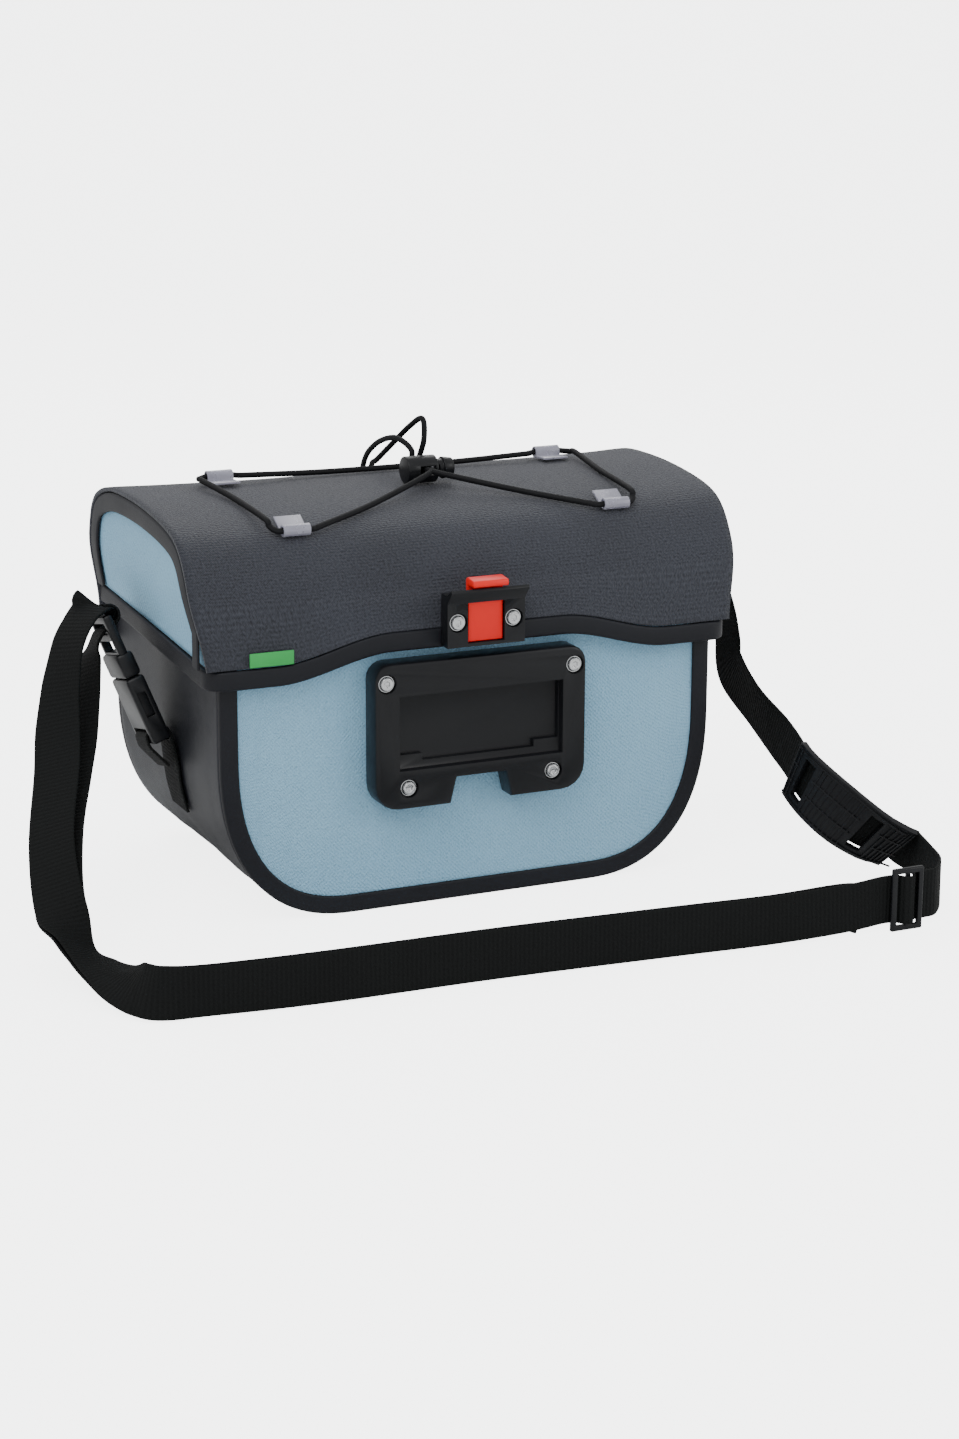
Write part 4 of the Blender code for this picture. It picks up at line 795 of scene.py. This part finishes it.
# Clips: four cloudy clear plastic eyes, each sewn to the lid near a corner. The elastic cord
# runs through their bores.
clear_plastic = shade("cloudy_plastic", (0.42, 0.42, 0.52), (0.62, 0.62, 0.72), 0.28,
                      spread=0.05, bump=0.00002, patch=0.008)
clear_shader = clear_plastic.node_tree.nodes["Principled BSDF"]
clear_shader.inputs["Transmission Weight"].default_value = 0.45
for end in ("front", "back"):
    for side in ("left", "right"):
        softened(f"hook_{end}_{side}", clear_plastic, 0.00025)

# Elastic cord: one braided cord, laced from the lock through the four clips and back, with
# its spare length in a loop that goes over the rear edge to a knot.
ELASTIC_DIAMETER = 0.0028
HOOK_WALL = 0.0008
HOOK_BORE_CLEARANCE = 0.0006
FRONT_HOOK = (0.081, -0.0590)
BACK_HOOK = (0.0865, 0.0270)
LOCK_X = 0.0045
LOCK_Y = -0.0085
LOCK_RADIUS = 0.0066
LOCK_STRAND_SPACING = 0.0034
LOCK_REACH = 0.0045
CORD_SIDES = 14
CORD_STEPS = 8
# Across from the lock, depth of the bag, height above the lid's top
EXCESS_LOOP_LEFT = (
    (-0.0010, 0.004, 0.0125), (-0.0035, 0.016, 0.0165), (-0.0050, 0.032, 0.0130),
    (-0.0055, 0.046, 0.0060), (-0.0040, 0.057, -0.0015), (-0.0015, 0.067, -0.0110),
    (0.0000, 0.0735, -0.0200),
)
EXCESS_LOOP_RIGHT = (
    (0.0030, -0.002, 0.0180), (0.0040, 0.002, 0.0275), (0.0020, 0.012, 0.0230),
    (-0.0010, 0.030, 0.0105), (-0.0010, 0.048, 0.0005), (0.0015, 0.060, -0.0035),
    (0.0035, 0.069, -0.0120), (0.0030, 0.0740, -0.0200),
)
# The cord's way into a clip: outwards from its middle, and along the lid's slope
CLIP_WAY = (
    (0.0118, 0.0100), (0.0112, 0.0045), (0.0090, 0.0010), (0.0060, 0.0), (0.0, 0.0),
    (-0.0060, 0.0), (-0.0095, 0.0004), (-0.0150, 0.0026),
)
lid_line = lid_profile(0.0, 1)[:-1]


def lid_height(x, y):
    """Height of the lid's skin above a point of the bag."""
    z = table_value(lid_line, y, 1)
    return z - lid_sag(x) * (z - LID_BASE) / LID_HEIGHT


CLIP_LIFT = 3 * GAP
BORE_SAG = 0.0004
SLOPE_STEP = 0.004


def above_lid(x, y, lift):
    return Vector((x, y, lid_height(x, y) + lift))


def clip_way(x, y):
    """The cord's way through a clip, from the outside of the lid on to the middle."""
    drop = lid_height(0, y + SLOPE_STEP) - lid_height(0, y - SLOPE_STEP)
    slant = math.atan2(drop, 2 * SLOPE_STEP)
    slope = Vector((0, math.cos(slant), math.sin(slant)))
    up = Vector((0, -math.sin(slant), math.cos(slant)))
    foot = above_lid(x, y, 0.0) + up * CLIP_LIFT
    middle = foot + up * (ELASTIC_DIAMETER / 2 + HOOK_BORE_CLEARANCE + HOOK_WALL)
    outwards = Vector((math.copysign(1, x), 0, 0))
    away = 1 if y < 0 else -1
    return [middle + outwards * u + slope * (v * away) + up * (-BORE_SAG if v else 0.0)
            for u, v in CLIP_WAY]


lock = above_lid(LOCK_X, LOCK_Y, LOCK_RADIUS + 2 * GAP)
strand = Vector((LOCK_STRAND_SPACING / 2, 0, 0))
through = Vector((0, LOCK_RADIUS + LOCK_REACH, 0))
cord_lift = ELASTIC_DIAMETER / 2 + 2 * GAP
lid_top_z = LID_BASE + LID_HEIGHT
route = [Vector((lock.x + x, y, lid_top_z + z)) for x, y, z in EXCESS_LOOP_LEFT[::-1]]
route += [lock - strand + through, lock - strand, lock - strand - through]
route += [above_lid(-0.035, -0.0415, cord_lift * 1.4)]
route += clip_way(-FRONT_HOOK[0], FRONT_HOOK[1])[::-1]
route += [above_lid(-0.0945, -0.016, cord_lift)]
route += clip_way(-BACK_HOOK[0], BACK_HOOK[1])
route += [above_lid(-0.030, 0.0275, cord_lift), above_lid(0.030, 0.0275, cord_lift)]
route += clip_way(*BACK_HOOK)[::-1]
route += [above_lid(0.0945, -0.016, cord_lift)]
route += clip_way(*FRONT_HOOK)
route += [above_lid(0.040, -0.0395, cord_lift * 1.4)]
route += [lock + strand - through, lock + strand, lock + strand + through]
route += [Vector((lock.x + x, y, lid_top_z + z)) for x, y, z in EXCESS_LOOP_RIGHT]


def round_cord(name, points, radius, finish, replaced, sides=CORD_SIDES):
    """A round cord along a line of points, its skin turned as little as can be."""
    rings = []
    last = len(points) - 1
    side = Vector((0, 0, 1))
    for i, point in enumerate(points):
        ahead = (points[min(i + 1, last)] - points[max(i - 1, 0)]).normalized()
        side = (side - ahead * side.dot(ahead)).normalized()
        other = ahead.cross(side)
        ring = []
        for k in range(sides):
            turn = 2 * math.pi * k / sides
            ring.append(point + (side * math.cos(turn) + other * math.sin(turn)) * radius)
        rings.append(ring)
    return sweep(name, rings, finish, replaced)


elastic = shade("braided_elastic", (0.002, 0.002, 0.003), (0.012, 0.013, 0.015), 0.65,
                specular=0.2, threads_of={"Pitch": 0.0012, "Slant": 1.0, "Uneven": 0.2},
                bump=0.00012, patch=0.02)
round_cord("elastic_braid", smooth_route(route, CORD_STEPS), ELASTIC_DIAMETER / 2, elastic,
           "elastic_cord")

# Knot: the cord's two ends, turned round each other and pulled tight. It is a coil of cord
# inside the box of the CAD knot.
KNOT_TURNS = 2.5
KNOT_STEPS = 60
KNOT_WIRE = 0.0013
KNOT_SIDES = 10
low, high = (Vector(corner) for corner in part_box("cord_knot"))
knot_middle = (low + high) / 2
knot_half = (high - low) / 2
coil = []
for k in range(KNOT_STEPS + 1):
    share = k / KNOT_STEPS
    turn = 2 * math.pi * KNOT_TURNS * share
    coil.append(knot_middle + Vector((
        (knot_half.x - KNOT_WIRE) * (2 * share - 1),
        (knot_half.y - KNOT_WIRE) * math.cos(turn),
        (knot_half.z - KNOT_WIRE) * math.sin(turn))))
round_cord("knot_of_cord", coil, KNOT_WIRE, elastic, "cord_knot",
           KNOT_SIDES)

# Cord lock: a barrel of black nylon that grips both strands of the cord. Its sprung plunger
# stands out at the right end as a knob.
softened("cord_lock", black_plastic, 0.0004)
softened("lock_plunger", black_plastic, 0.0004, body="lock_plunger")

# Side-release buckles: a socket and a plug on each side, moulded in black nylon. The strap
# turns round the bar of the plug's ladder.
for side in ("left", "right"):
    softened(f"buckle_socket_{side}", black_plastic, 0.0004)
    softened(f"buckle_plug_{side}", black_plastic, 0.0004)

# Webbing: one length of ribbed black webbing from buckle to buckle, through the slider. It
# is swept with rounded edges along rows of centre and width.
STRAP_WIDTH = 0.0230
STRAP_THICKNESS = 0.0014
STRAP_OUT = 0.055
STRAP_FORE = 0.202
SLIDER_X = 0.1616
SLIDER_WIDTH = 0.0165
SLIDER_HEIGHT = 0.0300
SLIDER_THICKNESS = 0.0024
BUCKLE_THICKNESS = 0.0092
SOCKET_LENGTH = 0.033
PLUG_BODY_LENGTH = 0.012
LADDER_LENGTH = 0.0190
LADDER_BAR = 0.0032
BUCKLE_FOOT = (0.0065, -0.002, 0.072)
BUCKLE_LEAN = (0.021, 0.015, 0.059)
ANCHOR_LENGTH = 0.034
ANCHOR_DENT = 0.0015
FOOT_BAR = 0.0035
FOOT_SLOT = 0.0045
WEB_STEPS = 9
EDGE_SHRINK = 0.94
# Strap routes. out: share of STRAP_OUT past the bar; fore: share of the way from the bar to
# the run in front; up: share of the bar's height; then the direction of the width.
LEFT_STRAP = (
    (0.085, 0.014, 1.060, -0.10, -0.98, -0.14),
    (0.230, 0.038, 1.024, -0.02, -0.97, -0.20),
    (0.365, 0.063, 0.952, 0.12, -0.95, -0.27),
    (0.475, 0.096, 0.834, 0.31, -0.92, -0.25),
    (0.575, 0.147, 0.699, 0.51, -0.85, -0.14),
    (0.691, 0.231, 0.570, 0.70, -0.66, 0.16),
    (0.902, 0.361, 0.387, 0.63, -0.76, 0.12),
    (0.984, 0.473, 0.228, 0.85, -0.50, 0.10),
    (0.955, 0.566, 0.122, 0.80, 0.36, -0.40),
    (0.885, 0.634, 0.092, 0.93, 0.26, -0.24),
    (0.838, 0.703, 0.086, 0.99, 0.09, 0.05),
    (0.804, 0.774, 0.0900, 0.80, -0.10, 0.58),
    (0.765, 0.832, 0.0937, 0.46, -0.06, 0.88),
    (0.638, 0.872, 0.0937, 0.44, -0.02, 0.90),
    (0.278, 0.896, 0.0935, 0.22, -0.10, 0.96),
)
FLOOR_RUN = (
    (-0.721, 0.917, 0.0935), (-0.225, 0.930, 0.0935), (0.279, 0.957, 0.0935),
    (0.580, 0.979, 0.0965), (0.800, 0.993, 0.108),
)
SLIDER_WEAVE = (
    (-1.55, -1.00), (-0.78, -1.00), (-0.59, -0.82), (-0.41, 0.00), (-0.24, 0.80),
    (-0.10, 1.00), (0.10, 1.00), (0.24, 0.80), (0.41, 0.00), (0.59, -0.82),
    (0.78, -1.00), (1.30, -1.05),
)
RIGHT_STRAP = (
    (0.522, 0.979, 0.116, 0.00, 0.00, 1.00),
    (0.704, 0.921, 0.116, 0.00, 0.02, 1.00),
    (0.805, 0.846, 0.116, 0.02, 0.10, 0.99),
    (0.880, 0.776, 0.116, 0.00, -0.10, 0.99),
    (0.925, 0.724, 0.120, -0.02, -0.16, 0.97),
    (0.813, 0.709, 0.149, -0.08, -0.62, 0.76),
    (0.595, 0.702, 0.192, 0.15, -0.60, 0.78),
    (0.373, 0.671, 0.260, 0.31, -0.52, 0.79),
    (0.222, 0.625, 0.331, 0.22, -0.45, 0.86),
    (0.167, 0.569, 0.385, 0.11, -0.41, 0.91),
    (0.205, 0.500, 0.427, 0.11, -0.34, 0.93),
    (0.236, 0.425, 0.465, 0.12, -0.30, 0.95),
    (0.278, 0.291, 0.530, -0.02, -0.40, 0.90),
    (0.373, 0.128, 0.620, 0.06, -0.85, 0.45),
    (0.400, 0.100, 0.720, 0.06, -0.97, 0.10),
    (0.385, 0.084, 0.836, 0.03, -0.99, 0.00),
    (0.331, 0.063, 0.952, 0.00, -1.00, -0.06),
    (0.222, 0.040, 1.037, -0.04, -0.99, -0.10),
    (0.085, 0.014, 1.067, -0.08, -0.99, -0.08),
)
BAR_WRAP = (
    (-0.0010, 0.0064), (-0.0047, 0.0052), (-0.0070, 0.0024), (-0.0064, -0.0012),
    (-0.0034, -0.0036), (0.0, -0.0044), (0.0036, -0.0052), (0.0090, -0.0100),
)
SECOND_LAYER = (
    (0.160, 0.024, 0.850, 0.05, -1.00, -0.12),
    (0.270, 0.066, 0.745, 0.22, -0.95, -0.20),
    (0.400, 0.127, 0.630, 0.42, -0.88, -0.10),
    (0.570, 0.212, 0.520, 0.64, -0.74, 0.10),
    (0.800, 0.336, 0.375, 0.64, -0.76, 0.10),
)
SECOND_LAYER_OFFSET = 0.0022
SECOND_LAYER_JOINS = 7
TUCK_REACH = 1.3
TUCK_DEPTH = 0.0030
ANCHOR_ROWS = (1.0, 0.72, 0.46, 0.30)
# The webbing's section: share of the width, share of the thickness
WEB_RING = (
    (-0.500, 0.00), (-0.496, 0.30), (-0.480, 0.46), (-0.440, 0.50), (-0.20, 0.47),
    (0.20, 0.47), (0.440, 0.50), (0.480, 0.46), (0.496, 0.30), (0.500, 0.00),
    (0.496, -0.30), (0.480, -0.46), (0.440, -0.50), (0.20, -0.47), (-0.20, -0.47),
    (-0.440, -0.50), (-0.480, -0.46), (-0.496, -0.30),
)


def buckle_frame(side):
    """Axes of a buckle: foot, along, across (towards the front) and outwards."""
    foot = Vector((side * (HALF_WIDTH + BUCKLE_FOOT[0]), BUCKLE_FOOT[1], BUCKLE_FOOT[2]))
    along = Vector((side * BUCKLE_LEAN[0], BUCKLE_LEAN[1], BUCKLE_LEAN[2])).normalized()
    across = Vector((0, -1, 0))
    across = (across - along * across.dot(along)).normalized()
    outward = along.cross(across).normalized()
    if outward.x * side < 0:
        outward.negate()
    return foot, along, across, outward


def bar_place(side):
    """The bar of the plug's ladder that the webbing turns round."""
    foot, along, across, outward = buckle_frame(side)
    return foot + along * (SOCKET_LENGTH + PLUG_BODY_LENGTH + LADDER_LENGTH - LADDER_BAR / 2)


def strap_rows(table, side):
    """A strap table's rows as centres and width directions."""
    bar = bar_place(side)
    rows = []
    for out, fore, up, wide_x, wide_y, wide_z in table:
        centre = Vector((bar.x + side * out * STRAP_OUT, bar.y + fore * (-STRAP_FORE - bar.y),
                         up * bar.z))
        rows.append((centre, Vector((wide_x, wide_y, wide_z))))
    return rows


def moved_rows(rows, distance):
    """Rows of webbing shifted square to its face."""
    shifted = []
    last = len(rows) - 1
    for i, (centre, across) in enumerate(rows):
        ahead = (rows[min(i + 1, last)][0] - rows[max(i - 1, 0)][0]).normalized()
        face = ahead.cross(across.normalized()).normalized()
        shifted.append((centre + face * distance, across))
    return shifted


def fine_rows(rows, steps):
    centres = smooth_route([row[0] for row in rows], steps)
    widths = smooth_route([row[1].normalized() for row in rows], steps)
    return list(zip(centres, widths))


def ribbon(name, rows, finish, replaced, width, thickness):
    """A flat band along fine rows of (centre, direction of its width)."""
    rings = []
    last = len(rows) - 1
    for i, (centre, across) in enumerate(rows):
        ahead = (rows[min(i + 1, last)][0] - rows[max(i - 1, 0)][0]).normalized()
        across = (across - ahead * across.dot(ahead)).normalized()
        face = ahead.cross(across).normalized()
        rings.append([centre + across * (width * wide) + face * (thickness * thick)
                      for wide, thick in WEB_RING])
    return sweep(name, rings, finish, replaced,
                 across=[wide * width for wide, thick in WEB_RING])


webbing = shade("ribbed_webbing", (0.0010, 0.0012, 0.0012), (0.0110, 0.0125, 0.0125), 0.75,
                specular=0.15, threads_of={"Pitch": 0.0021, "Ribs": 0.8, "Uneven": 0.5},
                bump=0.00050, patch=0.04)
left_bar = bar_place(-1)
floor_rows = []
for along, fore, up in FLOOR_RUN:
    centre = Vector((along * SLIDER_X, left_bar.y + fore * (-STRAP_FORE - left_bar.y),
                     up * left_bar.z))
    floor_rows.append((centre, Vector((0, 0, 1))))
front_rows = strap_rows(LEFT_STRAP, -1) + floor_rows
right_rows = strap_rows(RIGHT_STRAP, 1)
behind = moved_rows(front_rows, -SECOND_LAYER_OFFSET)[SECOND_LAYER_JOINS:]
tuck = Vector((SLIDER_X - SLIDER_WIDTH * TUCK_REACH, -STRAP_FORE + TUCK_DEPTH,
               STRAP_WIDTH / 2))
behind.append((tuck, Vector((0, 0, 1))))
weave_step = SLIDER_THICKNESS / 2 + STRAP_THICKNESS / 2 + GAP * 1.5
woven_rows = []
for along, across in SLIDER_WEAVE:
    centre = Vector((SLIDER_X + along * SLIDER_WIDTH / 2, -STRAP_FORE - across * weave_step,
                     SLIDER_HEIGHT / 2))
    woven_rows.append((centre, Vector((0, 0, 1))))
wraps = {}
for side in (-1, 1):
    foot, along, across, outward = buckle_frame(side)
    bar = bar_place(side)
    wraps[side] = [(bar + outward * out + along * up, across) for out, up in BAR_WRAP]
web_route = behind[::-1] + strap_rows(SECOND_LAYER, -1)[::-1] + wraps[-1][::-1]
web_route += front_rows + woven_rows + right_rows + wraps[1]
ribbon("shoulder_webbing", fine_rows(web_route, WEB_STEPS), webbing, "strap",
       STRAP_WIDTH, STRAP_THICKNESS * EDGE_SHRINK)

# Slider: a three-bar slide of moulded black nylon that sets the strap's length. The webbing
# is woven over and under its bars.
softened("strap_slider", black_plastic, 0.0004)

# Buckle anchors: a short length of the same webbing on each side, sewn to the gusset and
# looped through the slot in the socket's foot.
ANCHOR_STEPS = 6


def body_half_width(z):
    """Half the body's width at a height, on the curve of its lower corners."""
    drop = min(max(1 - z / BODY_CORNER_HEIGHT, 0.0), 1.0)
    bulge = (1 - drop ** BODY_CORNER_POWER) ** (1 / BODY_CORNER_POWER)
    return HALF_WIDTH - BODY_CORNER_WIDTH * (1 - bulge)


for side, name in ((-1, "left"), (1, "right")):
    foot, along, across, outward = buckle_frame(side)
    sewn = []
    for share in ANCHOR_ROWS:
        z = foot.z - ANCHOR_LENGTH * share
        x = body_half_width(z) - ANCHOR_DENT * dent_share(z) + GAP + STRAP_THICKNESS / 2
        sewn.append((Vector((side * x, foot.y, z)), Vector((0, -1, 0))))
    clear = BUCKLE_THICKNESS / 2 + STRAP_THICKNESS / 2 + GAP
    middle = FOOT_BAR + FOOT_SLOT / 2
    loop = (
        (-clear, -0.001), (-clear, FOOT_BAR - 0.001), (-clear + 0.0005, middle - 0.0012),
        (-clear + 0.0019, middle - 0.0001), (-clear + 0.0039, middle),
        (clear - 0.0039, middle), (clear - 0.0019, middle - 0.0001),
        (clear - 0.0005, middle - 0.0012), (clear, FOOT_BAR - 0.001), (clear, -0.001),
        (clear * 0.55, -0.0075), (clear * 0.2, -0.0125),
    )
    sewn += [(foot + outward * out + along * up, across) for out, up in loop]
    ribbon(f"anchor_webbing_{name}", fine_rows(sewn, ANCHOR_STEPS), webbing,
           f"buckle_anchor_{name}", STRAP_WIDTH, STRAP_THICKNESS * EDGE_SHRINK)

# Shoulder pad: a strip of moulded black rubber on the strap, with two slots. Ribs of the
# same rubber stand on its outer face as a grid.
PAD_WIDTH = 0.031
PAD_THICKNESS = 0.003
PAD_LIFT = STRAP_THICKNESS / 2 + PAD_THICKNESS / 2 + GAP * 3
PAD_STEPS = 3
PAD_FIRST = 15
PAD_LAST = 28
RIB_HEIGHT = 0.0007
RIB_WIDTH = 0.0008
RIB_SINK = 0.3
RIB_STEPS = 3
CROSS_RIBS = 2
CROSS_RIB_REACH = 0.46
PAD_SLOT_ROWS = (3, 4, 10, 11)
# Long ribs: share of the width, and the rows from and to which each stretch runs. The two
# in the middle leave the slots free.
WHOLE_RIB = ((0, 13),)
BROKEN_RIB = ((0, 3), (5, 10), (12, 13))
LONG_RIBS = ((-0.44, WHOLE_RIB), (-0.15, BROKEN_RIB), (0.15, BROKEN_RIB), (0.44, WHOLE_RIB))
rubber = shade("moulded_rubber", (0.004, 0.0045, 0.006), (0.012, 0.013, 0.015), 0.50,
               specular=0.25, bump=0.00005, patch=0.012)
pad = softened("shoulder_pad", rubber, 0.0005)
pad_rows = moved_rows(fine_rows(right_rows, PAD_STEPS), -PAD_LIFT)[PAD_FIRST:PAD_LAST + 1]
rib_lift = PAD_THICKNESS / 2 + RIB_HEIGHT * RIB_SINK
for k, (share, spans) in enumerate(LONG_RIBS):
    for part, (first, last) in enumerate(spans):
        rows = []
        for centre, across in pad_rows[first:last + 1]:
            rows.append((centre + across.normalized() * (PAD_WIDTH * share), across))
        rows = moved_rows(fine_rows(rows, RIB_STEPS), -rib_lift)
        ribbon(f"pad_rib_long_{k}_{part}", rows, rubber, None, RIB_WIDTH,
               RIB_HEIGHT)
for k in range(len(pad_rows) - 1):
    if k in PAD_SLOT_ROWS:
        continue
    for part in range(CROSS_RIBS):
        share = (part + 0.5) / CROSS_RIBS
        start, end = pad_rows[k], pad_rows[k + 1]
        centre = start[0].lerp(end[0], share)
        across = start[1].lerp(end[1], share).normalized()
        ahead = (end[0] - start[0]).normalized()
        across = (across - ahead * across.dot(ahead)).normalized()
        face = ahead.cross(across).normalized()
        place = centre - face * rib_lift
        rows = [(place + across * (PAD_WIDTH * CROSS_RIB_REACH * s), ahead)
                for s in (-1, -0.3, 0.3, 1)]
        ribbon(f"pad_rib_cross_{k}_{part}", rows, rubber, None,
               RIB_WIDTH, RIB_HEIGHT)
